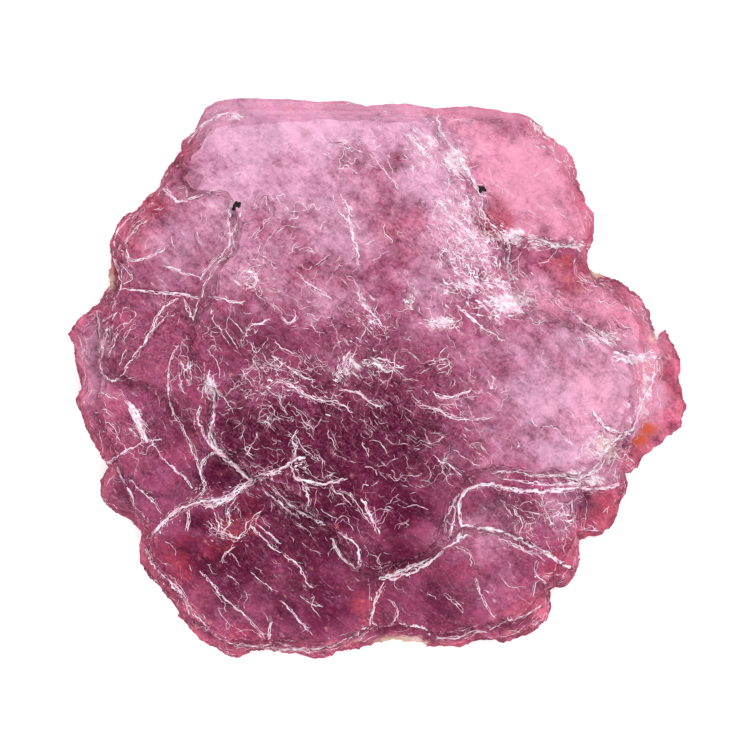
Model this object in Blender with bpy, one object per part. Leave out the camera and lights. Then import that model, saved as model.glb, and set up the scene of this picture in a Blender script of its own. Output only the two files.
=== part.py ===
# Raw lepidolite: one book of pink mica, a stack of cleavage sheets grown as one crystal.
# It lies on its lowest cleavage plane. +Z is up through the sheets, +X is the longer way across.
import math

import bpy
import bmesh
from mathutils import Matrix, Vector, noise

MM = 0.001

# Driving dimensions, in millimetres.
SHEET = 0.50             # height that each sheet adds to the stack
SHEET_LAP = 0.12         # how far a sheet reaches down into the one below it
EDGE_SIDE = 3.4          # longest straight side in a sheet's broken edge
EDGE_RAGGED = 0.9        # how far a broken edge stands back from its outline at most
EDGE_GRAIN = 3.2         # length of one scallop in the broken edge
EDGE_CHIP = 2.3          # how many chips there are to one scallop
EDGE_MIDDLE = 0.4        # share of the ragged depth that a plain stretch of edge stands back
SCALLOP_SHARE = 0.8      # how much the scallops add to that or take away
CHIP_SHARE = 0.6         # how much the chips add to that or take away
SCALLOP_SHIFT = 1.7      # how far the scallops' pattern moves on from one sheet to the next
CHIP_SHIFT = 5.0         # how far the chips' pattern moves on
DOME = 0.9               # how much higher the middle is than the rim
DOME_RADIUS = 30.0       # how far out the dome reaches
SWELL = 0.55             # height of the slow waves in the cleavage planes
SWELL_LENGTH = 13.0      # length of those waves
SWELL_SLICE = 4.0        # where the flat slice of waves is taken from the pattern in space
WAVE_GRID = 8.5          # spacing of the cuts that let the flat faces follow the waves
WAVE_HALF = 33.0         # how far the cuts reach on each side of the middle
WELD = 0.01              # points closer than this are one point
SLIVER = 0.05            # edges shorter than this are closed up after the sheets are joined

MICA_COLOUR = (0.38, 0.09, 0.18, 1.0)
MICA_ROUGHNESS = 0.38

# Outlines seen from above, clockwise from the far left corner, in millimetres.
# The whole book's broken rim, without the thin flap at the right.
RIM = [
    (-17.0, 26.7), (-14.3, 27.7), (-7.5, 27.5), (-1.0, 27.0), (9.5, 26.9), (15.5, 25.9),
    (18.0, 24.0), (20.0, 21.5), (20.3, 19.6), (21.9, 16.3), (22.1, 14.3), (21.3, 10.7),
    (24.5, 9.5), (27.5, 6.5), (27.5, 4.6), (28.2, 0.0), (27.0, -5.0), (24.8, -9.5),
    (25.2, -11.3), (23.7, -15.5), (20.3, -16.7), (19.7, -19.7), (17.4, -21.5), (16.9, -24.2),
    (13.5, -26.5), (10.5, -26.2), (8.5, -26.8), (2.5, -26.7), (-2.5, -27.5), (-5.6, -28.5),
    (-10.5, -27.7), (-14.2, -28.3), (-17.5, -26.5), (-19.5, -24.5), (-20.9, -22.0),
    (-23.0, -19.5), (-23.9, -17.0), (-24.5, -14.7), (-27.0, -13.0), (-27.5, -10.8),
    (-26.8, -9.3), (-28.3, -6.5), (-30.0, -2.5), (-29.5, -1.0), (-30.3, 2.5), (-30.6, 4.2),
    (-27.7, 6.9), (-26.7, 9.5), (-26.5, 13.5), (-25.0, 16.2), (-22.0, 18.5), (-20.8, 21.0),
    (-19.2, 23.5),
]
# The thin flap that stands out at the right, low in the stack.
FLAP = [
    (20.0, 4.5), (27.3, 4.3), (28.5, 3.3), (29.2, 4.2), (30.3, 2.4), (30.7, -1.0),
    (31.0, -3.0), (30.5, -5.0), (28.0, -7.3), (26.5, -9.3), (23.0, -9.9), (18.0, -7.0),
]
# The body of the book above the worn rim.
MIDDLE = [
    (-16.5, 26.0), (-13.5, 26.8), (-7.5, 26.8), (0.5, 26.4), (8.0, 26.2), (14.0, 25.6),
    (17.0, 23.7), (19.0, 21.5), (19.7, 19.0), (20.7, 16.8), (21.4, 14.0), (21.0, 11.2),
    (22.5, 9.2), (25.0, 8.2), (26.6, 5.5), (27.2, 2.0), (27.0, -2.0), (25.8, -5.5),
    (24.0, -8.0), (23.0, -10.5), (21.2, -12.0), (20.6, -15.5), (19.6, -18.3), (17.6, -20.5),
    (16.3, -22.7), (14.0, -24.7), (10.5, -25.5), (6.0, -26.0), (2.3, -25.2), (-0.6, -25.6),
    (-4.5, -27.1), (-10.5, -26.9), (-15.0, -26.9), (-18.0, -25.0), (-20.4, -21.8),
    (-22.4, -19.4), (-23.0, -17.0), (-22.8, -15.2), (-24.8, -13.3), (-25.4, -11.0),
    (-25.8, -9.0), (-27.0, -6.0), (-28.2, -3.2), (-27.5, -0.5), (-28.0, 2.5), (-27.6, 6.3),
    (-26.2, 8.6), (-25.9, 11.2), (-25.6, 14.0), (-24.0, 15.8), (-22.4, 17.8), (-20.9, 19.8),
    (-19.4, 22.2), (-18.4, 23.9),
]
# The sheets that are left after the lower half of the book's face has flaked away.
UPPER = [
    (-16.4, 25.6), (-7.5, 26.4), (6.5, 26.1), (14.0, 25.2), (18.2, 22.5), (19.6, 19.0),
    (20.8, 15.0), (20.8, 12.7), (18.5, 12.3), (14.3, 13.2), (13.4, 11.6), (14.0, 8.5),
    (18.5, 6.2), (22.5, 4.4), (26.2, 2.9), (27.0, -1.0), (26.0, -5.5), (23.3, -8.4),
    (20.8, -11.3), (20.6, -15.0), (19.5, -18.3), (16.5, -17.7), (13.0, -16.3), (9.0, -15.6),
    (6.5, -17.6), (3.0, -19.5), (0.3, -20.5), (-2.5, -19.8), (-4.1, -17.0), (-7.5, -14.3),
    (-12.4, -10.7), (-15.3, -9.0), (-17.5, -7.6), (-19.0, -4.5), (-21.0, -2.5), (-24.5, -1.0),
    (-27.0, 0.2), (-27.5, 4.5), (-26.3, 7.5), (-25.5, 11.0), (-25.4, 13.5), (-23.5, 15.5),
    (-21.9, 17.9), (-20.0, 20.9), (-18.4, 23.4),
]
# The dark, crazed sheets of the middle.
TOP = [
    (-16.0, 25.3), (-7.5, 26.0), (6.2, 25.9), (6.7, 24.3), (8.0, 22.0), (10.4, 18.3),
    (10.8, 15.6), (13.2, 13.5), (13.6, 10.5), (14.6, 7.5), (18.0, 5.9), (22.5, 4.2),
    (26.0, 2.4), (26.4, -1.0), (25.4, -5.0), (22.9, -8.6), (20.5, -10.5), (16.5, -10.3),
    (12.5, -9.8), (10.0, -10.5), (8.7, -11.7), (7.7, -14.0), (7.0, -17.0), (5.0, -18.3),
    (0.5, -20.1), (-2.0, -19.4), (-3.5, -17.0), (-5.0, -15.0), (-7.5, -13.7), (-10.0, -11.5),
    (-12.5, -10.2), (-15.0, -8.0), (-16.7, -6.5), (-17.0, -4.5), (-16.7, -2.0), (-18.5, 1.5),
    (-19.0, 4.5), (-17.3, 7.6), (-16.0, 10.5), (-14.3, 12.5), (-14.0, 15.0), (-15.2, 17.4),
    (-18.5, 17.8), (-20.2, 19.2), (-19.3, 21.6), (-17.3, 24.0),
]
# The pale, frosted sheet that is highest, at the far side.
CROWN = [
    (-15.5, 25.0), (-7.5, 25.8), (6.0, 25.5), (7.0, 23.5), (8.5, 20.5), (10.0, 18.0),
    (10.2, 15.7), (9.6, 13.5), (12.3, 8.5), (13.6, 6.8), (10.5, 6.3), (5.5, 4.5),
    (2.5, 7.5), (-1.5, 8.0), (-2.8, 12.5), (-3.8, 17.0), (-7.5, 16.3), (-12.5, 17.3),
    (-14.0, 16.0), (-15.5, 18.5), (-19.0, 18.9), (-18.6, 22.0), (-17.0, 23.8),
]
FOOT_INSET = 1.3         # how far the lowest sheets stand back under the rim


def divided(outline, longest):
    """The closed outline again, with its long sides split, so that its corners stay."""
    points = [Vector(p) for p in outline]
    result = []
    for a, b in zip(points, points[1:] + points[:1]):
        pieces = math.ceil((b - a).length / longest)
        result += [a.lerp(b, i / pieces) for i in range(pieces)]
    return result


def broken(outline, level, inset=0.0):
    """The points of one sheet's broken edge, which stands back differently at each level."""
    points = divided(outline, EDGE_SIDE)
    edge = []
    for i, point in enumerate(points):
        along = points[(i + 1) % len(points)] - points[i - 1]
        inward = Vector((along.y, -along.x)).normalized()
        slow = noise.noise(Vector((point.x, point.y, level * SCALLOP_SHIFT)) / EDGE_GRAIN)
        sharp = noise.noise(Vector((point.y, point.x, level * CHIP_SHIFT)) / EDGE_GRAIN * EDGE_CHIP)
        back = min(1.0, max(0.0, EDGE_MIDDLE + SCALLOP_SHARE * slow + CHIP_SHARE * sharp))
        edge.append(point + inward * (EDGE_RAGGED * back + inset))
    return edge


def sheet(name, edge, low, high, collection):
    """One flat sheet of mica between two heights: a filled curve, made a mesh."""
    curve = bpy.data.curves.new(name, "CURVE")
    curve.dimensions = "2D"
    curve.fill_mode = "BOTH"
    curve.extrude = (high - low) / 2 * MM
    spline = curve.splines.new("POLY")
    spline.points.add(len(edge) - 1)
    for point, place in zip(spline.points, edge):
        point.co = (place.x * MM, place.y * MM, 0.0, 1.0)
    spline.use_cyclic_u = True
    drawn = bpy.data.objects.new(name + "_outline", curve)
    drawn.location.z = (low + high) / 2 * MM
    collection.objects.link(drawn)
    bpy.context.view_layer.update()

    evaluated = drawn.evaluated_get(bpy.context.evaluated_depsgraph_get())
    mesh = bpy.data.meshes.new_from_object(evaluated)
    bm = bmesh.new()
    bm.from_mesh(mesh)
    bmesh.ops.remove_doubles(bm, verts=bm.verts, dist=WELD * MM)
    bmesh.ops.recalc_face_normals(bm, faces=bm.faces)
    bm.to_mesh(mesh)
    bm.free()
    solid = bpy.data.objects.new(name, mesh)
    solid.matrix_world = drawn.matrix_world.copy()
    collection.objects.link(solid)
    bpy.data.objects.remove(drawn)
    return solid


def stack(collection):
    """Every sheet of the book, from the foot to the crown."""
    layers = [
        ("rim", RIM, 0, 6),
        ("flap", FLAP, 1, 3),
        ("middle", MIDDLE, 6, 10),
        ("upper", UPPER, 10, 12),
        ("top", TOP, 12, 14),
        ("crown", CROWN, 14, 15),
    ]
    sheets = []
    for name, outline, first, last in layers:
        for level in range(first, last):
            inset = FOOT_INSET if level == 0 else 0.0
            low = level * SHEET - (SHEET_LAP if level else 0.0)
            edge = broken(outline, level, inset)
            sheets.append(sheet(f"{name}_{level}", edge, low, (level + 1) * SHEET, collection))
    return sheets


def joined(sheets, collection):
    """The sheets as one solid."""
    base, *others = sheets
    cutters = bpy.data.collections.new("sheets_to_join")
    bpy.context.scene.collection.children.link(cutters)
    for other in others:
        collection.objects.unlink(other)
        cutters.objects.link(other)
        other.hide_render = True
        other.display_type = "WIRE"
    union = base.modifiers.new("join", "BOOLEAN")
    union.operation = "UNION"
    union.operand_type = "COLLECTION"
    union.collection = cutters
    union.solver = "EXACT"
    bpy.context.view_layer.update()
    evaluated = base.evaluated_get(bpy.context.evaluated_depsgraph_get())
    mesh = bpy.data.meshes.new_from_object(evaluated)
    mesh.transform(base.matrix_world)
    for used in sheets:
        bpy.data.objects.remove(used)
    bpy.data.collections.remove(cutters)
    return mesh


def lift(x, y):
    """How far the cleavage planes rise at a place, in millimetres, at the top of the book."""
    reach = (x * x + y * y) / DOME_RADIUS ** 2
    swell = noise.noise(Vector((x, y, SWELL_SLICE)) / SWELL_LENGTH)
    return DOME * max(0.0, 1.0 - reach) + SWELL * swell


def waved(mesh):
    """Cuts the flat faces into a coarse grid, then bends the cleavage planes into slow waves."""
    bm = bmesh.new()
    bm.from_mesh(mesh)
    bmesh.ops.remove_doubles(bm, verts=bm.verts, dist=SLIVER * MM)
    bmesh.ops.dissolve_degenerate(bm, edges=bm.edges, dist=SLIVER * MM)
    for axis in (Vector((1, 0, 0)), Vector((0, 1, 0))):
        place = -WAVE_HALF
        while place < WAVE_HALF:
            everything = bm.verts[:] + bm.edges[:] + bm.faces[:]
            bmesh.ops.bisect_plane(
                bm, geom=everything, plane_co=axis * place * MM, plane_no=axis, dist=WELD * MM
            )
            place += WAVE_GRID
    bmesh.ops.triangulate(bm, faces=bm.faces)
    tall = max(v.co.z for v in bm.verts)
    for v in bm.verts:
        v.co.z += lift(v.co.x / MM, v.co.y / MM) * MM * v.co.z / tall
    bm.to_mesh(mesh)
    bm.free()


def centred(mesh):
    """Puts the middle of the book's foot at the origin."""
    xs = [v.co.x for v in mesh.vertices]
    ys = [v.co.y for v in mesh.vertices]
    middle = Vector(((min(xs) + max(xs)) / 2, (min(ys) + max(ys)) / 2, 0.0))
    mesh.transform(Matrix.Translation(-middle))


def mica():
    """Pink mica: deep rose with a pearly shine."""
    material = bpy.data.materials.new("mica")
    material.use_nodes = True
    shader = material.node_tree.nodes["Principled BSDF"]
    shader.inputs["Base Color"].default_value = MICA_COLOUR
    shader.inputs["Roughness"].default_value = MICA_ROUGHNESS
    shader.inputs["Metallic"].default_value = 0.0
    return material


def main():
    for old in list(bpy.data.objects):
        bpy.data.objects.remove(old)
    lepidolite = bpy.data.collections.new("lepidolite")
    bpy.context.scene.collection.children.link(lepidolite)
    mesh = joined(stack(lepidolite), lepidolite)
    waved(mesh)
    centred(mesh)
    mesh.name = "mica_book"
    mesh.materials.clear()
    mesh.materials.append(mica())
    book = bpy.data.objects.new("mica_book", mesh)
    lepidolite.objects.link(book)


main()
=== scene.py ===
# Looks of a raw lepidolite book: leaves of pink mica, frayed edges, white cracks, dark grains.
import math
import random

import bmesh
import bpy
import numpy as np
from mathutils import Matrix, Vector, noise
from mathutils.bvhtree import BVHTree
from mathutils.geometry import intersect_line_line_2d


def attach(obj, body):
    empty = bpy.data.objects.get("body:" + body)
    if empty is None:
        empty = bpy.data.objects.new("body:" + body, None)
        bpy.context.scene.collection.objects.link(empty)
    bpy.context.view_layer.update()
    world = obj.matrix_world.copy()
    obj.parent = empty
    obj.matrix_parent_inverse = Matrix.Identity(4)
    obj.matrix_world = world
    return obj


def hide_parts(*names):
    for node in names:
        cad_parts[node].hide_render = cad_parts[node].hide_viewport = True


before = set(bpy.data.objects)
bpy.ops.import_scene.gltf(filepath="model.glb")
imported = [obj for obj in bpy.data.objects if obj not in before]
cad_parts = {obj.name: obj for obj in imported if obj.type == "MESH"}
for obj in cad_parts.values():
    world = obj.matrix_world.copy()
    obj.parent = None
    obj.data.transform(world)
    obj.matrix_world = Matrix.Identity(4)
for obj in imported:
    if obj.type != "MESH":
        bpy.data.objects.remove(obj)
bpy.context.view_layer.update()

# Everything is drawn in millimetres, in the outline's own frame, and is moved into place at the end.
millimetre = 0.001
photo = {"pixel": 0.1, "centre": 375}  # millimetres a photo pixel, and the pixel at the frame's middle
book = {
    "middle": (0.2075, -0.3582),  # where the frame's origin lies in the outline's own frame
    "step": 0.5,  # height of one of the frame's sheets
    "leaves": 3,  # thin leaves drawn for each of those sheets
    "lap": 0.03,  # how far a leaf reaches down into the one below it
    "tall": 7.5,  # height of the flat stack
    "dome": 0.9, "domeReach": 30.0,  # how far the cleavage planes rise in the middle, and how wide
    "swell": 0.55, "swellLength": 13.0, "swellSeed": 4.0,
    "ragged": 0.9, "grain": 3.2,  # depth and length of the breaks in a sheet's edge
    "scallopShift": 1.7, "chipShift": 5.0,  # how far their patterns move on from one sheet to the next
    "chipFiner": 2.3,  # how much finer the chips are than the scallops
    "footInset": 1.3,  # how far the lowest sheet stands back
}
toFrame = Matrix.Scale(millimetre, 4) @ Matrix.Translation((-book["middle"][0], -book["middle"][1], 0.0))


# A photo pixel as millimetres.
def place(px, py):
    return Vector(((px - photo["centre"]) * photo["pixel"], (photo["centre"] - py) * photo["pixel"]))


# Outlines of the groups of leaves, as photo pixels, clockwise from the far left corner.
outlines = {
    "rim": [
        (205, 108), (215, 102), (232, 98), (260, 97), (300, 100), (350, 102), (366, 105), (405, 104),
        (435, 107), (470, 106), (500, 110), (530, 116), (537, 122), (556, 135), (568, 148), (575, 160),
        (577, 176), (585, 190), (587, 203), (594, 213), (596, 232), (592, 250), (589, 268), (600, 275),
        (620, 280), (640, 297), (650, 310), (653, 322), (656, 334), (662, 350), (662, 375), (655, 400),
        (646, 425), (634, 448), (624, 470), (627, 487), (622, 500), (617, 516), (611, 530), (600, 535),
        (588, 538), (580, 541), (582, 556), (579, 571), (568, 584), (549, 591), (551, 608), (547, 622),
        (533, 633), (518, 640), (500, 643), (480, 641), (460, 646), (440, 646), (400, 642), (370, 645),
        (350, 650), (335, 655), (325, 660), (312, 660), (300, 656), (285, 655), (270, 652), (250, 652),
        (238, 658), (225, 655), (217, 648), (200, 640), (190, 630), (180, 620), (170, 600), (158, 590),
        (148, 576), (140, 560), (136, 546), (140, 535), (130, 522), (115, 512), (105, 505), (100, 495),
        (100, 481), (107, 468), (98, 455), (92, 440), (85, 425), (78, 410), (75, 399), (80, 389), (78, 375),
        (73, 360), (73, 346), (68, 334), (72, 325), (82, 315), (98, 306), (102, 292), (108, 284),
        (108, 270), (112, 255), (110, 240), (115, 228), (125, 214), (135, 210), (142, 200), (155, 190),
        (160, 178), (167, 165), (180, 150), (183, 140), (195, 128),
    ],
    "flap": [
        (575, 330), (640, 330), (650, 338), (657, 347), (662, 335), (667, 332), (673, 342), (679, 360),
        (682, 385), (685, 405), (681, 426), (668, 440), (655, 448), (646, 460), (640, 468), (612, 474),
        (555, 445),
    ],
    "middle": [
        (210, 115), (240, 107), (300, 107), (380, 111), (455, 113), (515, 119), (545, 138), (565, 160),
        (572, 185), (582, 207), (589, 235), (585, 263), (600, 283), (625, 293), (641, 320), (647, 355),
        (645, 395), (633, 430), (615, 455), (605, 480), (587, 495), (581, 530), (571, 558), (551, 580),
        (538, 602), (515, 622), (480, 630), (435, 635), (398, 627), (369, 631), (330, 646), (270, 644),
        (225, 644), (195, 625), (171, 593), (151, 569), (145, 545), (147, 527), (127, 508), (121, 485),
        (117, 465), (105, 435), (93, 407), (100, 380), (95, 350), (99, 312), (113, 289), (116, 263),
        (119, 235), (135, 217), (151, 197), (166, 177), (181, 153), (191, 136),
    ],
    "upper": [
        (211, 119), (300, 111), (440, 114), (515, 123), (557, 150), (571, 185), (583, 225), (583, 248),
        (560, 252), (518, 243), (509, 259), (515, 290), (560, 313), (600, 331), (637, 346), (645, 385),
        (635, 430), (608, 459), (583, 488), (581, 525), (570, 558), (540, 552), (505, 538), (465, 531),
        (440, 551), (405, 570), (378, 580), (350, 573), (334, 545), (300, 518), (251, 482), (222, 465),
        (200, 451), (185, 420), (165, 400), (130, 385), (105, 373), (100, 330), (112, 300), (120, 265),
        (121, 240), (140, 220), (156, 196), (175, 166), (191, 141),
    ],
    "top": [
        (215, 122), (300, 115), (437, 116), (442, 132), (455, 155), (479, 192), (483, 219), (507, 240),
        (511, 270), (521, 300), (555, 316), (600, 333), (635, 351), (639, 385), (629, 425), (604, 461),
        (580, 480), (540, 478), (500, 473), (475, 480), (462, 492), (452, 515), (445, 545), (425, 558),
        (380, 576), (355, 569), (340, 545), (325, 525), (300, 512), (275, 490), (250, 477), (225, 455),
        (208, 440), (205, 420), (208, 395), (190, 360), (185, 330), (202, 299), (215, 270), (232, 250),
        (235, 225), (223, 201), (190, 197), (173, 183), (182, 159), (202, 135),
    ],
}

# For each group, the heights of the frame's sheets that it fills, how far its lowest leaf stands out,
# how far each leaf stands back from the one below it, and how frosted its edges are.
groups = {
    "rim": {"sheets": (0, 6), "out": 0.42, "slope": 0.025, "frosting": 0.4},
    "flap": {"sheets": (1, 3), "out": 0.45, "slope": 0.03, "frosting": 0.3},
    "middle": {"sheets": (6, 10), "out": 0.15, "slope": 0.03, "frosting": 0.45},
    "upper": {"sheets": (10, 12), "out": 0.0, "slope": 0.10, "frosting": 0.6},
    "top": {"sheets": (12, 14), "out": 0.0, "slope": 0.10, "frosting": 0.6},
}

# The highest part rises softly out of the top group: where its near border runs, and how it fades, in pixels.
crown = {
    "border": [(185, 205), (330, 218), (352, 275), (372, 305), (430, 330), (520, 305)],
    "rise": 0.5, "fade": 42, "side": 500, "sideFade": 40,
}

# Waves are given as how many there are in a millimetre, and how fast they change with the height.
leafLooks = {
    "side": 0.42,  # spacing of the points along a leaf's broken edge
    "back": (0.4, 0.8, 0.6), "share": 0.75,  # how far it stands back: mean, scallops, chips, and their share
    "scallop": 0.52, "scallopWaves": (0.8, 3.1),
    "chip": 0.19, "chipWaves": (2.6, 7.7),
    "farCalm": 0.45, "farRow": 128,  # how broken the far edge is, and the photo's row where it starts
    "loop": 14,  # how many points a loop of the edge may have that is cut off
    "lip": (0.05, 0.30), "lipWaves": (0.9, 5.0),  # width of the frosted lip inside the edge
    "lipRounds": 4, "lipNarrower": 0.4,  # how it is made narrower where it would fold over
    "curl": 0.05, "curlWaves": (0.7, 2.0),  # how far a lip may stand up
    "frosted": (0.65, 1.3), "frostWaves": (0.35, 3.0),  # how much of a lip is frosted: mean and swing
    "hiddenGrid": 3.0,  # spacing of the cuts on leaves that only show at their edges
    "faceGrid": 0.6,  # spacing of the cuts on leaves whose faces show
    "gridShift": 0.013, "gridMerge": 0.0005,
    "crumple": 0.05,  # height of the small waves on the faces
    "crumpleWaves": [(9.0, 2.2, 1.0), (3.0, 0.8, 0.5)],  # for each pattern its seed, length and share
    "faceTone": 0.5,
    "sharp": 32.0,  # edges that turn by more degrees than this stay sharp
}


# A closed outline with its long sides split, so that its corners stay.
def divided(points, longest):
    result = []
    for a, b in zip(points, points[1:] + points[:1]):
        pieces = max(1, math.ceil((b - a).length / longest))
        result += [a.lerp(b, i / pieces) for i in range(pieces)]
    return result


# For each point of a clockwise outline, the way to its inside.
def inwards(points):
    result = []
    for i in range(len(points)):
        along = points[(i + 1) % len(points)] - points[i - 1]
        result.append(Vector((along.y, -along.x)).normalized())
    return result


# An outline without the small loops that its breaks make at tight corners.
def untangled(points):
    result = list(points)
    i = 0
    while i < len(result) - 2:
        for j in range(min(i + leafLooks["loop"], len(result) - 2), i + 1, -1):
            crossing = intersect_line_line_2d(result[i], result[i + 1], result[j], result[j + 1])
            if crossing:
                result[i + 1:j + 1] = [crossing]
                break
        i += 1
    return result


# A pattern over the plane that changes with the height.
def pattern(x, y, height, waves):
    across, up = waves
    return noise.noise(Vector((x * across, y * across, height * up)))


# One leaf's broken edge: it stands back by slow scallops and by small sharp chips.
def brokenEdge(points, level, inset=0.0):
    fine = divided(points, leafLooks["side"])
    sheetLevel = math.floor(level)
    mean, slowPart, sharpPart = leafLooks["back"]
    farRow = place(0, leafLooks["farRow"]).y
    edge = []
    for point, way in zip(fine, inwards(fine)):
        x, y = point
        slow = noise.noise(Vector((x, y, sheetLevel * book["scallopShift"])) / book["grain"])
        sharp = noise.noise(Vector((y, x, sheetLevel * book["chipShift"])) / book["grain"] * book["chipFiner"])
        back = min(1.0, max(0.0, mean + slowPart * slow + sharpPart * sharp))
        back = back * book["ragged"] * leafLooks["share"]
        scallop = abs(pattern(x, y, level, leafLooks["scallopWaves"])) * leafLooks["scallop"]
        chip = pattern(x, y, level, leafLooks["chipWaves"]) * leafLooks["chip"]
        calm = leafLooks["farCalm"] if y > farRow else 1.0  # the far edge is nearly straight
        edge.append(point + way * ((back + scallop + chip) * calm + inset))
    return untangled(edge)


# How far the cleavage planes rise at a place, at the top of the book.
def lift(x, y):
    swell = noise.noise(Vector((x, y, book["swellSeed"])) / book["swellLength"])
    dome = max(0.0, 1.0 - (x * x + y * y) / book["domeReach"] ** 2)
    return book["dome"] * dome + book["swell"] * swell


# Small waves on the faces that show.
def crumple(x, y):
    waves = 0.0
    for seed, length, share in leafLooks["crumpleWaves"]:
        waves += share * noise.noise(Vector((x, y, seed)) / length)
    return leafLooks["crumple"] * waves


# A smooth step from 0 to 1.
def smooth(value):
    value = min(1.0, max(0.0, value))
    return value * value * (3 - 2 * value)


# The soft rise of the highest part.
def crownRise(x, y):
    px = x / photo["pixel"] + photo["centre"]
    py = photo["centre"] - y / photo["pixel"]
    line = crown["border"]
    near = line[0][1] if px < line[0][0] else line[-1][1]
    for (ax, ay), (bx, by) in zip(line, line[1:]):
        if ax <= px < bx:
            near = ay + (by - ay) * (px - ax) / (bx - ax)
    ends = smooth((near - py) / crown["fade"])
    return crown["rise"] * ends * smooth((crown["side"] - px) / crown["sideFade"])


# Slices the mesh along a square grid, so that its flat faces can bend.
def gridCut(bm, spacing):
    for index, axis in enumerate((Vector((1, 0, 0)), Vector((0, 1, 0)))):
        reach = [vertex.co[index] for vertex in bm.verts]
        first = math.ceil(min(reach) / spacing)
        for i in range(first, math.floor(max(reach) / spacing) + 1):
            spot = axis * (i * spacing + leafLooks["gridShift"])
            everything = bm.verts[:] + bm.edges[:] + bm.faces[:]
            bmesh.ops.bisect_plane(bm, geom=everything, plane_co=spot, plane_no=axis,
                                   dist=leafLooks["gridMerge"])


# How wide the frosted lip is at each point of an edge: less where it would fold over at a tight corner.
def lipWidths(edge, ways, high, share):
    least, most = leafLooks["lip"]
    widths = []
    for x, y in edge:
        part = 0.5 + 0.5 * pattern(x, y, high, leafLooks["lipWaves"])
        widths.append(share * (least + (most - least) * part))
    for again in range(leafLooks["lipRounds"]):
        for i in range(len(edge)):
            last = edge[i - 1] + ways[i - 1] * widths[i - 1]
            here = edge[i] + ways[i] * widths[i]
            if (here - last).dot(edge[i] - edge[i - 1]) <= 0:
                widths[i] *= leafLooks["lipNarrower"]
                widths[i - 1] *= leafLooks["lipNarrower"]
    return widths


# One thin leaf of mica: a closed slab with a pale lip along its top edge. The tone, the frosting of
# a place, and the width of the lip belong to this leaf.
def leaf(name, edge, low, high, tone, frosting, spacing, bend, lipShare=1.0):
    bm = bmesh.new()
    rank = bm.verts.layers.int.new("rank")
    pale = bm.verts.layers.float.new("edgeFrost")
    page = bm.verts.layers.float.new("leafTone")
    ring = []
    for i, point in enumerate(edge):
        vertex = bm.verts.new((point.x, point.y, low))
        vertex[rank] = i
        ring.append(vertex)
    floorFace = bm.faces.new(ring)
    ways = inwards(edge)
    widths = lipWidths(edge, ways, high, lipShare)

    raised = bmesh.ops.extrude_face_region(bm, geom=[floorFace])["geom"]
    for vertex in [g for g in raised if isinstance(g, bmesh.types.BMVert)]:
        x, y = edge[vertex[rank]]
        vertex.co.z = high + leafLooks["curl"] * pattern(x, y, high, leafLooks["curlWaves"])
    capFace = [g for g in raised if isinstance(g, bmesh.types.BMFace)]

    lipped = bmesh.ops.extrude_face_region(bm, geom=capFace)["geom"]
    bmesh.ops.delete(bm, geom=capFace, context="FACES_ONLY")
    for vertex in [g for g in lipped if isinstance(g, bmesh.types.BMVert)]:
        i = vertex[rank]
        vertex.co.x += ways[i].x * widths[i]
        vertex.co.y += ways[i].y * widths[i]
        vertex.co.z = high
    for cap in [g for g in lipped if isinstance(g, bmesh.types.BMFace)]:
        cap.material_index = 1  # marks the face inside the lip until the tones are set
    gridCut(bm, spacing)
    bmesh.ops.recalc_face_normals(bm, faces=bm.faces)
    bmesh.ops.triangulate(bm, faces=bm.faces)
    mean, swing = leafLooks["frosted"]
    for vertex in bm.verts:
        x, y, z = vertex.co
        vertex[page] = tone
        inside = any(face.material_index for face in vertex.link_faces)
        patchy = mean + swing * pattern(x, y, high, leafLooks["frostWaves"])
        vertex[pale] = 0.0 if inside else frosting(x, y) * min(1.0, max(0.0, patchy))
        vertex.co.z = bend(x, y, z)
    for every in bm.faces:
        every.material_index = 0
    return asObject(bm, name)


# A mesh being edited, as an object of its own.
def asObject(bm, name):
    mesh = bpy.data.meshes.new(name)
    bm.to_mesh(mesh)
    bm.free()
    made = bpy.data.objects.new(name, mesh)
    bpy.context.scene.collection.objects.link(made)
    return made


# Several objects as one.
def joinPieces(pieces, name):
    bpy.ops.object.select_all(action="DESELECT")
    for piece in pieces:
        piece.select_set(True)
    bpy.context.view_layer.objects.active = pieces[0]
    if len(pieces) > 1:
        bpy.ops.object.join()
    whole = bpy.context.view_layer.objects.active
    whole.name = name
    whole.data.name = name
    return whole


# All the leaves of one group, from its lowest to the one whose face shows.
def buildGroup(name):
    points = [place(*p) for p in outlines[name]]
    thin = book["step"] / book["leaves"]
    first, last = groups[name]["sheets"]
    chance = random.Random(name)
    leaves = []
    for count in range((last - first) * book["leaves"]):
        level = first + count / book["leaves"]
        low = first * book["step"] + count * thin
        inset = groups[name]["slope"] * count - groups[name]["out"] + (book["footInset"] if level < 1 else 0.0)
        isFace = count == (last - first) * book["leaves"] - 1
        bottom = low - (book["lap"] if low > 0 else 0.0)
        edge = brokenEdge(points, level, inset)
        spacing = leafLooks["faceGrid"] if isFace else leafLooks["hiddenGrid"]

        def bend(x, y, z):
            relief = crumple(x, y) if isFace and z > low else 0.0
            if name == "top" and relief:
                relief += crownRise(x, y)
            return z + lift(x, y) * z / book["tall"] + relief

        def frosting(x, y):
            return groups[name]["frosting"]

        tone = leafLooks["faceTone"] if isFace else chance.random()
        leaves.append(leaf(f"{name}{count}", edge, bottom, low + thin, tone, frosting, spacing, bend))
    return joinPieces(leaves, name + "_leaves")


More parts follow.
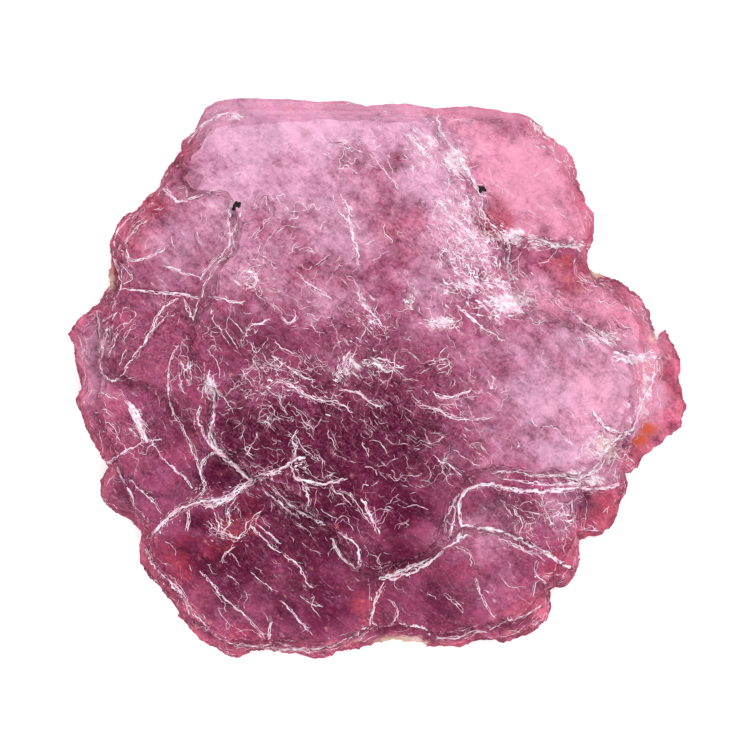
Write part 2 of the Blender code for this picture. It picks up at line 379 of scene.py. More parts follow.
# Thin scales that are left on the faces. Their broken edges draw the plate-like pattern.
# Photo pixels, clockwise.
scales = {
    "far_left_scale": [
        (120, 289), (116, 262), (119, 240), (130, 222), (143, 208), (158, 190), (176, 202), (190, 201),
        (205, 195), (226, 199), (233, 216), (236, 240), (231, 256), (215, 270), (207, 285), (200, 298),
        (180, 295), (160, 294),
    ],
    "left_scale": [
        (99, 309), (122, 291), (150, 296), (176, 298), (173, 312), (162, 321), (149, 336), (138, 350),
        (128, 366), (122, 381), (105, 376), (101, 350),
    ],
    "left_shard": [
        (125, 380), (136, 358), (160, 326), (178, 311), (196, 306), (200, 330), (186, 350), (173, 370),
        (168, 400), (160, 425), (150, 440), (140, 420), (130, 400),
    ],
    "near_left_scale": [
        (108, 466), (125, 458), (142, 443), (165, 442), (180, 453), (192, 470), (203, 490), (185, 506),
        (165, 520), (148, 535), (133, 515), (131, 495), (120, 474),
    ],
    "second_ledge": [
        (456, 506), (466, 491), (489, 485), (520, 492), (560, 492), (582, 496), (577, 528), (578, 545),
        (570, 566), (550, 556), (530, 543), (505, 534), (480, 527), (462, 527), (455, 520),
    ],
    "near_left_plate": [
        (150, 541), (175, 518), (203, 501), (240, 512), (262, 538), (281, 554), (300, 566), (310, 585),
        (330, 598), (360, 590), (374, 581), (375, 600), (368, 625), (330, 641), (270, 639), (225, 635),
        (197, 615), (171, 585), (152, 560),
    ],
    "near_right_plate": [
        (380, 583), (412, 571), (441, 553), (470, 546), (508, 547), (534, 564), (543, 579), (531, 598),
        (509, 614), (479, 623), (440, 626), (405, 616), (391, 600),
    ],
    "far_right_plate": [
        (443, 119), (515, 126), (543, 143), (557, 162), (567, 190), (579, 225), (578, 242), (550, 242),
        (517, 236), (495, 205), (473, 163), (452, 138),
    ],
}


# Heights above the book: where a ray down starts, and where a search for the nearest place starts.
probe = {"ray": 20.0, "near": 6.0}


# The face's point straight below, or None past the rim.
def faceUnder(ground, x, y):
    return ground.ray_cast(Vector((x, y, probe["ray"])), Vector((0, 0, -1)))[0]


# The same, or the nearest point of the book past the rim.
def faceNear(ground, x, y):
    return faceUnder(ground, x, y) or ground.find_nearest(Vector((x, y, probe["near"])))[0]


scaleLooks = {
    "level": 40,  # keeps the patterns of their edges apart from the leaves'
    "out": 0.35,  # how far they stand out past their outlines
    "thick": 0.10, "uneven": 0.05, "unevenLength": 4.0, "sink": 0.05,
    "tone": 0.35, "toneStep": 0.04, "frosting": 0.45,
}


# The thin scales, each a slab that is drawn between the heights 0 and 1, and bent onto the face under it.
def buildScales(ground):
    made = []
    for count, (name, pixels) in enumerate(scales.items()):
        edge = brokenEdge([place(*p) for p in pixels], scaleLooks["level"] + count, -scaleLooks["out"])

        def bend(x, y, z):
            uneven = noise.noise(Vector((x, y, count)) / scaleLooks["unevenLength"])
            thick = scaleLooks["thick"] + scaleLooks["uneven"] * uneven
            return faceNear(ground, x, y).z + (thick if z > 0.5 else -scaleLooks["sink"])

        def frosting(x, y):
            return scaleLooks["frosting"]

        tone = scaleLooks["tone"] + scaleLooks["toneStep"] * count
        made.append(leaf(name, edge, 0.0, 1.0, tone, frosting, leafLooks["faceGrid"], bend))
    return joinPieces(made, "face_scales")


# Where small scales lie on the faces: photo pixel, reach across, reach up, how many, heading in degrees
# and length in millimetres.
scaleAreas = [
    (350, 400, 80, 45, 46, -35, 1.9), (290, 440, 50, 50, 26, -45, 1.9), (330, 510, 60, 35, 22, -40, 1.7),
    (250, 380, 40, 45, 26, 60, 1.5), (455, 250, 40, 60, 44, -50, 1.3), (300, 310, 80, 40, 30, -25, 1.5),
    (160, 330, 50, 45, 18, 55, 1.6), (460, 340, 60, 40, 22, -35, 1.5), (550, 515, 30, 18, 20, -60, 1.2),
    (430, 470, 50, 30, 14, -35, 1.5), (380, 345, 40, 20, 22, -20, 1.3), (600, 300, 40, 25, 14, -20, 1.5),
    (250, 250, 50, 40, 12, 50, 1.4), (240, 580, 70, 35, 12, -42, 1.8), (140, 430, 35, 40, 12, -50, 1.6),
    (420, 160, 45, 35, 14, -50, 1.2), (600, 440, 25, 20, 12, -30, 1.1),
]
smallScale = {
    "spread": 0.6, "turn": 28,  # how far they lie and turn away from their area's middle and heading
    "sides": 15, "ragged": 0.76, "waves": 1.3,
    "long": (0.5, 1.3), "slim": (0.28, 0.7),  # shares of the area's length, and of their own length
    "rises": (90, 90, -90, 60, 120),  # degrees from the heading to the side that stands up
    "stand": (0.05, 0.17), "sink": 0.03, "under": 0.03, "steep": 0.9,
    "lip": 0.30, "frosting": 0.9, "grid": 0.45, "tones": (0.2, 0.9),
    "slope": 0.35,  # none lies where the face falls more than this under it
}


# A random place in a soft area.
def somewhere(px, py, wide, high, spread, chance):
    return place(px + chance.gauss(0, spread) * wide, py + chance.gauss(0, spread) * high)


# A place in the noise that one piece has for itself.
def ownSeed(chance):
    return chance.uniform(0, 100)


# The way to a heading.
def towards(angle):
    return Vector((math.cos(angle), math.sin(angle)))


# A small scale's outline: a ragged oval, clockwise.
def smallEdge(spot, long, wide, heading, chance):
    seed = ownSeed(chance)
    turn = Matrix.Rotation(math.radians(heading), 2)
    waves = smallScale["waves"]
    edge = []
    for i in range(smallScale["sides"]):
        out = towards(-2 * math.pi * i / smallScale["sides"])
        reach = 1.0 + smallScale["ragged"] * noise.noise(Vector((out.x * waves, out.y * waves, seed)))
        edge.append(spot + turn @ Vector((out.x * long / 2, out.y * wide / 2)) * reach)
    return untangled(edge)


# Small scales that stand up along one side and sink into the face on the other.
def buildSmallScales(ground):
    chance = random.Random(77)
    made = []
    for px, py, wide, high, count, heading, size in scaleAreas:
        for each in range(count):
            spot = somewhere(px, py, wide, high, smallScale["spread"], chance)
            long = size * chance.uniform(*smallScale["long"])
            slim = long * chance.uniform(*smallScale["slim"])
            turn = heading + chance.gauss(0, smallScale["turn"])
            edge = smallEdge(spot, long, slim, turn, chance)
            rise = towards(math.radians(turn + chance.choice(smallScale["rises"])))
            stand = chance.uniform(*smallScale["stand"])
            heights = [faceUnder(ground, p.x, p.y) for p in edge]
            if None in heights or max(h.z for h in heights) - min(h.z for h in heights) > smallScale["slope"]:
                continue

            def standing(x, y):
                return smooth(0.5 + smallScale["steep"] * (Vector((x, y)) - spot).dot(rise) / slim)

            def bend(x, y, z):
                above = stand * standing(x, y) if z > 0.5 else -smallScale["under"]
                return faceNear(ground, x, y).z - smallScale["sink"] + above

            def frosting(x, y):
                return smallScale["frosting"] * standing(x, y) ** 2

            made.append(leaf("scale", edge, 0.0, 1.0, chance.uniform(*smallScale["tones"]), frosting,
                             smallScale["grid"], bend, smallScale["lip"]))
    return joinPieces(made, "small_scales")


# Soft areas of tone on the faces: photo pixel, reach across, reach up, strength.
toneAreas = {
    # The pale haze: the air-filled layers' own paleness, together with painted sheen (the reflection of the soft
    # lights) and painted light that lifts places in shade.
    "airHazeAndSheen": [
        (290, 122, 125, 48, 1.0), (245, 155, 46, 40, 0.85), (290, 185, 110, 40, 0.6),
        (430, 160, 38, 58, 0.85), (462, 235, 32, 50, 0.65), (500, 290, 40, 40, 0.4),
        (560, 395, 72, 42, 0.75), (620, 385, 38, 50, 0.75), (570, 450, 52, 22, 0.8),
        (330, 297, 48, 26, 0.45), (345, 362, 28, 14, 0.3), (525, 298, 42, 34, 0.5), (580, 342, 62, 22, 0.6),
        (430, 280, 32, 60, 0.5), (345, 240, 50, 30, 0.6), (222, 225, 40, 36, 0.5), (175, 245, 40, 44, 0.5),
        (92, 365, 18, 50, 0.5), (600, 462, 34, 20, 0.5), (484, 534, 44, 26, 0.35), (560, 512, 22, 22, 0.4),
        (480, 350, 30, 24, 0.35), (350, 106, 170, 16, 1.2), (240, 196, 50, 22, 0.8),
        (405, 116, 40, 18, 0.9), (205, 200, 26, 18, 0.6), (648, 384, 16, 48, 1.15),
        (443, 205, 24, 44, 0.85), (330, 212, 44, 34, 0.65), (600, 474, 32, 12, 0.7),
        (500, 440, 40, 35, 0.35), (250, 262, 60, 45, 0.5), (500, 590, 40, 22, 0.18),
        (640, 340, 24, 16, 0.8), (520, 350, 28, 24, 0.45), (240, 108, 42, 12, 0.6), (482, 110, 44, 10, 0.7),
        (638, 428, 12, 14, 0.8), (562, 272, 24, 12, 0.35), (562, 146, 18, 16, 0.4), (640, 312, 18, 14, 0.5),
        (600, 424, 30, 22, 0.7),
    ],
    "candy": [
        (525, 175, 52, 52, 1.0), (560, 215, 30, 36, 0.8), (480, 140, 30, 22, 0.8), (600, 395, 50, 50, 0.5),
        (350, 106, 150, 12, 0.5), (604, 304, 42, 24, 0.75), (480, 111, 70, 10, 1.0),
        (560, 165, 24, 50, 1.0), (640, 316, 14, 22, 0.8), (510, 310, 26, 24, 0.3), (560, 308, 32, 18, 0.6),
        (440, 240, 30, 40, 0.3), (665, 400, 16, 40, 0.35), (580, 225, 14, 34, 0.8), (360, 205, 26, 20, 0.3),
        (395, 235, 26, 24, 0.3), (175, 172, 14, 22, 0.3), (522, 230, 24, 16, 0.75), (156, 188, 16, 16, 0.7),
        (600, 505, 16, 26, 0.35), (612, 470, 20, 14, 0.5),
    ],
    "deep": [
        (368, 440, 68, 42, 1.15), (300, 440, 62, 50, 1.0), (240, 440, 30, 45, 0.9), (222, 476, 24, 16, 1.4),
        (330, 500, 60, 35, 1.0), (300, 540, 70, 40, 0.8), (400, 505, 42, 35, 0.9), (395, 558, 38, 24, 0.7),
        (255, 508, 38, 18, 0.9), (202, 525, 22, 14, 0.9), (288, 470, 30, 20, 0.7), (440, 600, 45, 25, 0.6),
        (320, 600, 75, 35, 0.66), (225, 560, 60, 42, 0.8), (500, 510, 50, 18, 0.5), (250, 340, 60, 32, 0.5),
        (390, 388, 52, 38, 0.6), (180, 330, 60, 30, 0.3), (110, 345, 30, 32, 0.35), (140, 480, 40, 40, 0.3),
        (172, 420, 30, 32, 0.5), (440, 460, 36, 36, 0.5), (150, 285, 35, 18, 0.25), (320, 378, 40, 24, 0.6),
        (318, 340, 30, 16, 0.3), (190, 400, 40, 50, 0.35), (560, 560, 22, 22, 0.2),
        (370, 585, 40, 25, 0.45),
    ],
    "rose": [
        (160, 200, 24, 14, 0.5), (140, 240, 24, 20, 0.7), (182, 150, 12, 24, 0.9), (395, 235, 24, 22, 0.7),
        (500, 215, 14, 14, 1.0), (580, 215, 14, 36, 0.8), (455, 125, 16, 10, 0.6), (665, 390, 22, 56, 1.0),
        (605, 512, 22, 24, 1.0), (570, 285, 30, 25, 0.9), (622, 310, 32, 28, 0.8), (150, 340, 60, 60, 0.3),
        (530, 612, 30, 16, 0.7), (572, 560, 14, 20, 0.6), (200, 380, 30, 30, 0.3), (120, 440, 22, 50, 0.35),
        (520, 300, 22, 20, 0.5), (230, 522, 30, 20, 0.25), (365, 615, 16, 26, 0.5), (300, 648, 110, 9, 0.6),
        (195, 612, 14, 30, 0.5), (590, 232, 8, 30, 0.8),
    ],
    "brick": [
        (605, 512, 20, 24, 0.9), (586, 284, 32, 14, 0.6), (565, 266, 26, 14, 0.8), (626, 306, 16, 14, 0.4),
        (645, 452, 18, 14, 0.9), (496, 222, 14, 18, 1.2), (400, 238, 22, 22, 0.35), (155, 204, 14, 11, 1.3),
        (138, 228, 14, 14, 0.6), (360, 604, 12, 18, 0.6), (236, 530, 22, 16, 0.9), (380, 610, 14, 16, 0.4),
        (182, 158, 12, 18, 0.8), (310, 440, 26, 16, 0.25), (335, 432, 18, 14, 0.25),
        (225, 470, 18, 14, 0.25), (195, 440, 10, 20, 0.4), (672, 370, 8, 26, 0.5), (570, 545, 16, 14, 0.7),
        (550, 572, 14, 12, 0.6), (520, 605, 30, 16, 0.4), (250, 500, 30, 16, 0.5), (170, 558, 28, 24, 0.7),
        (240, 635, 30, 12, 0.5), (220, 545, 30, 18, 0.5), (125, 285, 10, 10, 0.5),
    ],
    "rust": [
        (650, 431, 11, 8, 1.2), (641, 441, 10, 8, 1.1), (570, 260, 12, 7, 0.4), (236, 531, 8, 9, 0.5),
        (357, 603, 6, 11, 0.35), (336, 525, 6, 5, 0.4), (113, 276, 5, 16, 0.8), (566, 278, 12, 8, 0.25),
        (395, 575, 12, 5, 0.4),
    ],
    "crazed": [
        (360, 415, 120, 70, 1.0), (270, 430, 70, 60, 0.9), (455, 235, 45, 75, 1.0), (250, 250, 60, 45, 0.6),
        (290, 520, 80, 40, 0.7), (160, 330, 60, 60, 0.6), (400, 150, 70, 40, 0.6), (330, 310, 90, 50, 0.6),
        (520, 510, 50, 22, 0.7), (240, 590, 70, 35, 0.35), (600, 300, 45, 40, 0.7), (600, 440, 40, 30, 0.7),
        (450, 460, 60, 40, 0.5), (140, 430, 40, 60, 0.6), (520, 280, 40, 40, 0.6), (500, 340, 50, 40, 0.4),
        (240, 150, 60, 40, 0.5), (460, 585, 60, 30, 0.2), (540, 190, 50, 50, 0.3), (555, 400, 60, 40, 0.45),
        (290, 215, 90, 50, 0.6), (190, 240, 50, 40, 0.5), (560, 450, 60, 25, 0.6),
    ],
    "clay": [
        (402, 643, 30, 4.5, 1.1), (598, 266, 8, 12, 1.2), (606, 447, 20, 11, 0.6), (110, 278, 5, 12, 0.9),
        (652, 335, 8, 8, 0.5), (480, 236, 26, 7, 0.3),
    ],
    "frost": [
        (506, 302, 22, 10, 1.2), (466, 285, 28, 9, 0.8), (440, 323, 14, 6, 1.0), (456, 162, 9, 14, 1.5),
        (512, 237, 12, 7, 1.0), (480, 236, 26, 12, 0.55), (455, 215, 24, 34, 0.45), (408, 300, 7, 12, 0.7),
        (345, 366, 12, 16, 0.6), (378, 364, 16, 9, 0.5), (138, 421, 5, 17, 0.7), (209, 386, 8, 12, 0.9),
        (187, 368, 9, 14, 0.45), (602, 450, 26, 14, 0.65), (590, 478, 38, 8, 0.75), (425, 145, 22, 26, 0.5),
        (340, 150, 30, 14, 0.35), (232, 116, 12, 5, 0.7), (543, 127, 14, 10, 0.7), (552, 147, 8, 5, 0.7),
        (555, 245, 35, 6, 0.6), (640, 358, 25, 7, 0.9), (600, 340, 26, 8, 0.75), (646, 392, 5, 32, 0.9),
        (560, 243, 30, 3, 0.6), (630, 420, 10, 18, 0.5), (210, 205, 40, 4, 0.35), (300, 205, 26, 14, 0.25),
        (350, 215, 8, 28, 0.4), (250, 280, 12, 12, 0.5), (366, 310, 14, 16, 0.4), (205, 175, 20, 5, 0.4),
        (210, 503, 7, 5, 0.8), (480, 312, 14, 8, 0.5),
    ],
}


toneLooks = {
    # waves that displace the areas: how far, and how many there are across and up in 2 pi millimetres
    "aside": [(0.9, 0.7, 1.3), (0.4, -1.9, 3.1)],
    "along": [(0.9, 1.1, -0.8), (0.4, 2.7, 2.3)],
    "steady": 36,  # areas with a smaller reach, in pixels, keep their place better
    "fade": 0.8,
    "rimStep": 1.0, "thin": 1.3,  # how the rim is divided, and how far its thin part reaches in
    "rimUpTo": 650, "flapFrom": 645,  # the photo's columns where the flap's edge takes over from the rim's
    "flapHidden": 2,  # points at the end of the flap that are under the rim
    "farRow": 118, "farReach": 1.0, "farSoft": 2.0, "farThin": 0.3,  # the far edge is thicker
}


def waves(x, y, parts):
    return sum(far * np.sin(up * y + across * x) for far, across, up in parts)


# How thin the rim is at each place, from 0 to 1. This places the painted glow of light that shines through the
# thin rim.
def thinness(x, y):
    step = toneLooks["rimStep"]
    border = divided([place(*p) for p in outlines["rim"] if p[0] < toneLooks["rimUpTo"]], step)
    flap = divided([place(*p) for p in outlines["flap"] if p[0] > toneLooks["flapFrom"]], step)
    nearest = np.full(len(x), 1e9)
    for point in border + flap[:-toneLooks["flapHidden"]]:
        nearest = np.minimum(nearest, (x - point.x) ** 2 + (y - point.y) ** 2)
    fromFar = place(0, toneLooks["farRow"]).y + toneLooks["farReach"] - y
    farFade = np.clip(fromFar / toneLooks["farSoft"], toneLooks["farThin"], 1.0)
    return np.exp(-np.sqrt(nearest) / toneLooks["thin"]) * farFade


# Writes the soft areas of tone to the piece's vertices, together with how thin the rim is, which places the
# painted glow of light shining through it.
def paintTones(piece):
    count = len(piece.data.vertices)
    co = np.zeros(count * 3)
    piece.data.vertices.foreach_get("co", co)
    x, y = co[0::3], co[1::3]
    aside, along = waves(x, y, toneLooks["aside"]), waves(x, y, toneLooks["along"])
    painted = {"thinRimGlow": thinness(x, y)}
    for tone, areas in toneAreas.items():
        value = np.zeros(count)
        for px, py, wide, high, strength in areas:
            spot = place(px, py)
            wobble = min(1.0, min(wide, high) / toneLooks["steady"])
            across = (x + aside * wobble - spot.x) / (wide * photo["pixel"])
            up = (y + along * wobble - spot.y) / (high * photo["pixel"])
            value = np.maximum(value, strength * np.exp(-(across ** 2 + up ** 2) * toneLooks["fade"]))
        painted[tone] = value
    for tone, value in painted.items():
        layer = piece.data.attributes.new(tone, "FLOAT", "POINT")
        layer.data.foreach_set("value", value.astype(np.float32))


# Smooth shading, materials, and the piece's place in the frame.
def finishPiece(piece, materials, sharp=None):
    piece.data.materials.clear()
    for material in materials:
        piece.data.materials.append(material)
    piece.data.transform(toFrame)
    piece.data.shade_smooth()
    if sharp:
        piece.data.set_sharp_from_angle(angle=math.radians(sharp))
    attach(piece, "root")
    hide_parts("mica_book")


# Materials. Colours are linear.
colours = {
    # The pale haze colour is partly the air-filled layers' own paleness and partly painted sheen.
    "body": (0.29, 0.055, 0.125), "deep": (0.078, 0.002, 0.024), "airHazeAndSheen": (0.74, 0.40, 0.565),
    "candy": (0.80, 0.32, 0.46), "rose": (0.55, 0.105, 0.175), "crimson": (0.33, 0.035, 0.095),
    "violet": (0.27, 0.12, 0.23), "rust": (0.62, 0.10, 0.030), "clay": (0.86, 0.66, 0.53),
    "brick": (0.31, 0.028, 0.055),
    # The glow colour is painted light that shines through the thin rim.
    "frost": (0.92, 0.85, 0.90), "rimGlow": (0.64, 0.16, 0.25), "line": (0.62, 0.27, 0.42),
    "lip": (0.74, 0.36, 0.50),
}

# Nodes stand in rows in the editor, in the order that they are made.
nodeRows = {"long": 16, "across": 190, "down": 280}


# Sets a socket to a number, colour or vector, or wires another socket to it.
def feed(tree, socket, value):
    if isinstance(value, bpy.types.NodeSocket):
        tree.links.new(value, socket)
    elif socket.type == "RGBA":
        socket.default_value = (*value, 1.0)
    else:
        socket.default_value = value


# A shader node with its named settings and inputs.
def node(tree, kind, **values):
    count = len(tree.nodes)
    made = tree.nodes.new(kind)
    row, column = divmod(count, nodeRows["long"])
    made.location = (column * nodeRows["across"], -row * nodeRows["down"])
    for key, value in values.items():
        if hasattr(made, key):
            setattr(made, key, value)
        else:
            feed(tree, made.inputs[key.replace("_", " ")], value)
    return made


# A sum on sockets or numbers.
def calculate(tree, operation, *values):
    made = node(tree, "ShaderNodeMath", operation=operation)
    for socket, value in zip(made.inputs, values):
        feed(tree, socket, value)
    return made.outputs[0]


# A sum on sockets or vectors.
def calculateVector(tree, operation, *values, **named):
    made = node(tree, "ShaderNodeVectorMath", operation=operation, **named)
    for socket, value in zip(made.inputs, values):
        feed(tree, socket, value)
    return made.outputs[0]


def minus(tree, a, b):
    return calculate(tree, "SUBTRACT", a, b)


# One sum after another, over all the values.
def chained(tree, operation, values):
    total = values[0]
    for value in values[1:]:
        total = calculate(tree, operation, total, value)
    return total


def plus(tree, *values):
    return chained(tree, "ADD", values)


def times(tree, *values):
    return chained(tree, "MULTIPLY", values)


def larger(tree, *values):
    return chained(tree, "MAXIMUM", values)


# Several named sockets added up, each times its share.
def mixed(tree, sockets, shares):
    return plus(tree, *[times(tree, sockets[name], share) for name, share in shares.items()])


# A smooth step between two values, from 0 to 1 or falling.
def ramp(tree, value, low, high, falling=False):
    made = node(tree, "ShaderNodeMapRange", interpolation_type="SMOOTHSTEP", Value=value, From_Min=low,
                From_Max=high, To_Min=float(falling), To_Max=1.0 - falling)
    return made.outputs["Result"]


# Lays a colour over another.
def blendColour(tree, base, over, amount):
    made = node(tree, "ShaderNodeMix", data_type="RGBA")
    colourSockets = [socket for socket in made.inputs if socket.type == "RGBA"]
    feed(tree, made.inputs["Factor"], amount)
    feed(tree, colourSockets[0], base)
    feed(tree, colourSockets[1], over)
    return [socket for socket in made.outputs if socket.type == "RGBA"][0]


def attribute(tree, name):
    return node(tree, "ShaderNodeAttribute", attribute_name=name).outputs["Fac"]


def noiseOf(tree, vector, scale, detail, roughness):
    return node(tree, "ShaderNodeTexNoise", noise_dimensions="3D", Vector=vector, Scale=scale, Detail=detail,
                Roughness=roughness).outputs["Fac"]


# Crumpled noise with crisp bright creases: about 0.2 in its pits, 1 on the whole and 1.5 on its creases.
def creasesOf(tree, vector, scale):
    return node(tree, "ShaderNodeTexNoise", noise_dimensions="3D", noise_type="RIDGED_MULTIFRACTAL", Vector=vector,
                Scale=scale, Detail=4.0, Roughness=0.6, Offset=0.9, Gain=2.0, Distortion=0.6).outputs["Fac"]


# Mixes a mask with a pattern, so that its border is cloudy.
def cloudy(tree, mask, clouds, amount, low, high):
    return ramp(tree, plus(tree, mask, times(tree, minus(tree, clouds, 0.5), amount)), low, high)


# Object coordinates in millimetres.
def inMillimetres(tree):
    where = node(tree, "ShaderNodeTexCoord").outputs["Object"]
    return node(tree, "ShaderNodeMapping", Vector=where, Scale=(1 / millimetre,) * 3).outputs["Vector"]


# An empty material with its shader.
def newMaterial(name):
    material = bpy.data.materials.new(name)
    material.use_nodes = True
    return material, material.node_tree, material.node_tree.nodes["Principled BSDF"]


# What both groups of lines take: the more cover there is, the more of the lines show.
lineInputs = {"Vector": None, "Scale": 1.0, "Width": 0.05, "Cover": 0.5, "Warp": 0.5}
coverTop = 0.95


# An empty node group with the lines' inputs.
def lineGroup(name, outputs):
    group = bpy.data.node_groups.new(name, "ShaderNodeTree")
    for label, value in lineInputs.items():
        kind = "NodeSocketVector" if value is None else "NodeSocketFloat"
        socket = group.interface.new_socket(name=label, in_out="INPUT", socket_type=kind)
        if value is not None:
            socket.default_value = value
    for label in outputs:
        group.interface.new_socket(name=label, in_out="OUTPUT", socket_type="NodeSocketFloat")
    return group, node(group, "NodeGroupInput").outputs, node(group, "NodeGroupOutput").inputs


# The patches where lines show.
def linePatches(group, given, finer, detail, roughness, soft):
    patch = noiseOf(group, given["Vector"], times(group, given["Scale"], finer), detail, roughness)
    least = minus(group, coverTop, given["Cover"])
    return ramp(group, patch, least, plus(group, least, soft))


# Fine curved lines, as where thin flakes end: the level lines of a noise, broken up by another.
def makeFilaments():
    group, given, result = lineGroup("filaments", ["Line"])
    bend = node(group, "ShaderNodeTexNoise", noise_dimensions="3D", Detail=2.0, Vector=given["Vector"],
                Scale=given["Scale"]).outputs["Color"]
    warped = calculateVector(group, "SCALE", bend, Scale=given["Warp"])
    bent = calculateVector(group, "MULTIPLY_ADD", warped, (1.0, 1.0, 0.0), given["Vector"])
    field = noiseOf(group, bent, given["Scale"], 3.0, 0.55)
    away = calculate(group, "ABSOLUTE", minus(group, field, 0.5))
    line = ramp(group, away, 0.0, given["Width"], falling=True)
    feed(group, result["Line"], times(group, line, linePatches(group, given, 1.7, 2.0, 0.5, 0.08)))
    return group


# Small torn scales: a tone for each, and on some of their edges a bright line beside a dark line of painted
# shadow.
def makeTornScales():
    group, given, result = lineGroup("tornScales", ["Tone", "Bright", "Dark"])
    finer = 1.6
    bend = node(group, "ShaderNodeTexNoise", noise_dimensions="3D", Detail=4.0, Roughness=0.65,
                Vector=given["Vector"], Scale=times(group, given["Scale"], finer)).outputs["Color"]
    centred = calculateVector(group, "SUBTRACT", bend, (0.5, 0.5, 0.5))
    warped = calculateVector(group, "SCALE", centred, Scale=given["Warp"])
    bent = calculateVector(group, "ADD", given["Vector"], warped)
    shadow = calculateVector(group, "ADD", bent, (-0.07, 0.09, 0.0))
    cells = node(group, "ShaderNodeTexVoronoi", voronoi_dimensions="2D", feature="F1", Vector=bent,
                 Scale=given["Scale"])
    tone = node(group, "ShaderNodeSeparateColor", Color=cells.outputs["Color"])
    feed(group, result["Tone"], tone.outputs[0])
    shown = linePatches(group, given, finer, 4.0, 0.7, 0.12)
    for name, vector in (("Bright", bent), ("Dark", shadow)):
        edges = node(group, "ShaderNodeTexVoronoi", voronoi_dimensions="2D", feature="DISTANCE_TO_EDGE",
                     Vector=vector, Scale=given["Scale"])
        line = ramp(group, edges.outputs["Distance"], 0.0, given["Width"], falling=True)
        feed(group, result[name], times(group, line, shown))
    return group


# What the mica's patterns are made of. Scales are waves for each millimetre.
micaLooks = {
    "slant": -42, "stretch": (2.4, 0.7, 1.0),  # heading of the streaks in degrees, and how long they are
    "aside": (40.0, 17.0, 5.0),  # where a second set of patterns is taken
    "noises": {  # coordinates, scale, detail and roughness
        "redness": ("aside", 0.28, 4.0, 0.6), "haze": ("aside", 0.7, 6.0, 0.7),
        "mottle": ("straight", 0.85, 6.0, 0.68), "grain": ("straight", 3.2, 5.0, 0.75),
        "streaks": ("slanted", 1.5, 5.0, 0.68), "specks": ("straight", 4.6, 3.0, 0.6),
    },
    "clouds": {"mottle": 0.7, "streaks": 0.3},
    "creases": {"creases": ("straight", 0.75), "fineCreases": ("aside", 1.9)},
    "crumbled": (0.25, 0.75),  # how crumbled the calm parts are, and how much more the crazed ones
    "scales": {  # coordinates, scale, width, warp, cover when calm, more when crazed
        "big": ("straight", 0.42, 0.030, 1.1, 0.30, 0.17), "small": ("slanted", 0.85, 0.055, 0.6, 0.24, 0.22),
    },
    "filaments": {  # coordinates, scale, width, warp, cover
        "fine": ("slanted", 0.9, 0.030, 0.8, 0.44), "web": ("straight", 1.5, 0.045, 0.8, 0.46),
        "darkWeb": ("aside", 1.3, 0.050, 0.8, 0.46),
    },
    # from dark to pale: the pattern or tone, its colour, where it starts and is full, and how much it covers
    "washes": [("redness", "crimson", 0.50, 0.66, 0.45), ("haze", "violet", 0.50, 0.68, 0.30)],
    # the same for the tones, after how cloudy their borders are
    "tones": [
        ("deep", "deep", 2.2, 0.0, 0.8, 0.96), ("rose", "rose", 1.6, 0.1, 1.0, 0.85),
        # The pale haze tone lays painted sheen over the air-filled layers' paleness.
        ("airHazeAndSheen", "airHazeAndSheen", 1.1, 0.0, 0.95, 0.92), ("candy", "candy", 0.9, 0.1, 0.9, 0.85),
        # The thin rim takes a painted glow of light shining through it.
        ("brick", "brick", 1.8, 0.1, 1.0, 0.8), ("thinRimGlow", "rimGlow", 2.4, 0.2, 1.0, 0.6),
    ],
    "calm": 0.6, "clear": 0.75,  # how much less goes on in the haze, and in the deep parts
    "patches": {"bigTone": 0.34, "smallTone": 0.36, "leafTone": 0.30}, "patchMean": 0.18,
    "folds": {"creases": 0.30, "fineCreases": 0.26}, "foldMean": 0.56,
    "shade": {"grain": 1.5, "clouds": 1.5}, "shadeMean": 1.80, "shadeLeast": 0.30,
    "shadowLines": 0.6, "pits": (0.30, 0.70), "pitDepth": 0.38,
    "sheen": (0.55, 0.75), "sheenShare": 0.09,
    "darkSpecks": (0.34, 0.43), "paleSpecks": (0.58, 0.68), "speckShare": 0.5,
    "darkWebShare": 0.5,
    "lines": {"bigBright": 0.7, "smallBright": 0.6}, "fineShare": 0.22, "webShare": 0.6,
    "creased": (1.35, 1.60), "creasedShares": {"creases": 0.5, "fineCreases": 0.35},
    "frost": (3.4, 0.45, 1.0), "frostShare": 0.85,  # how broken it is, where it starts and is full
    "edgeFrost": (2.2, 0.25, 0.8), "lipShare": 0.8,
    "rust": (2.6, 0.2, 1.0), "rustShare": (0.62, 0.5),
    "clay": (2.2, 0.2, 0.9), "clayShare": 0.85,
    "roughness": 0.28, "rougher": {"mottle": 0.25, "white": 0.18}, "specular": 0.05,
    "height": {
        "mottle": 0.8, "grain": 0.3, "streaks": 0.6, "white": 0.25, "lines": 0.25, "patches": 0.8, "folds": 1.0,
    },
    "bump": 0.6, "bumpDepth": 0.00015,
}


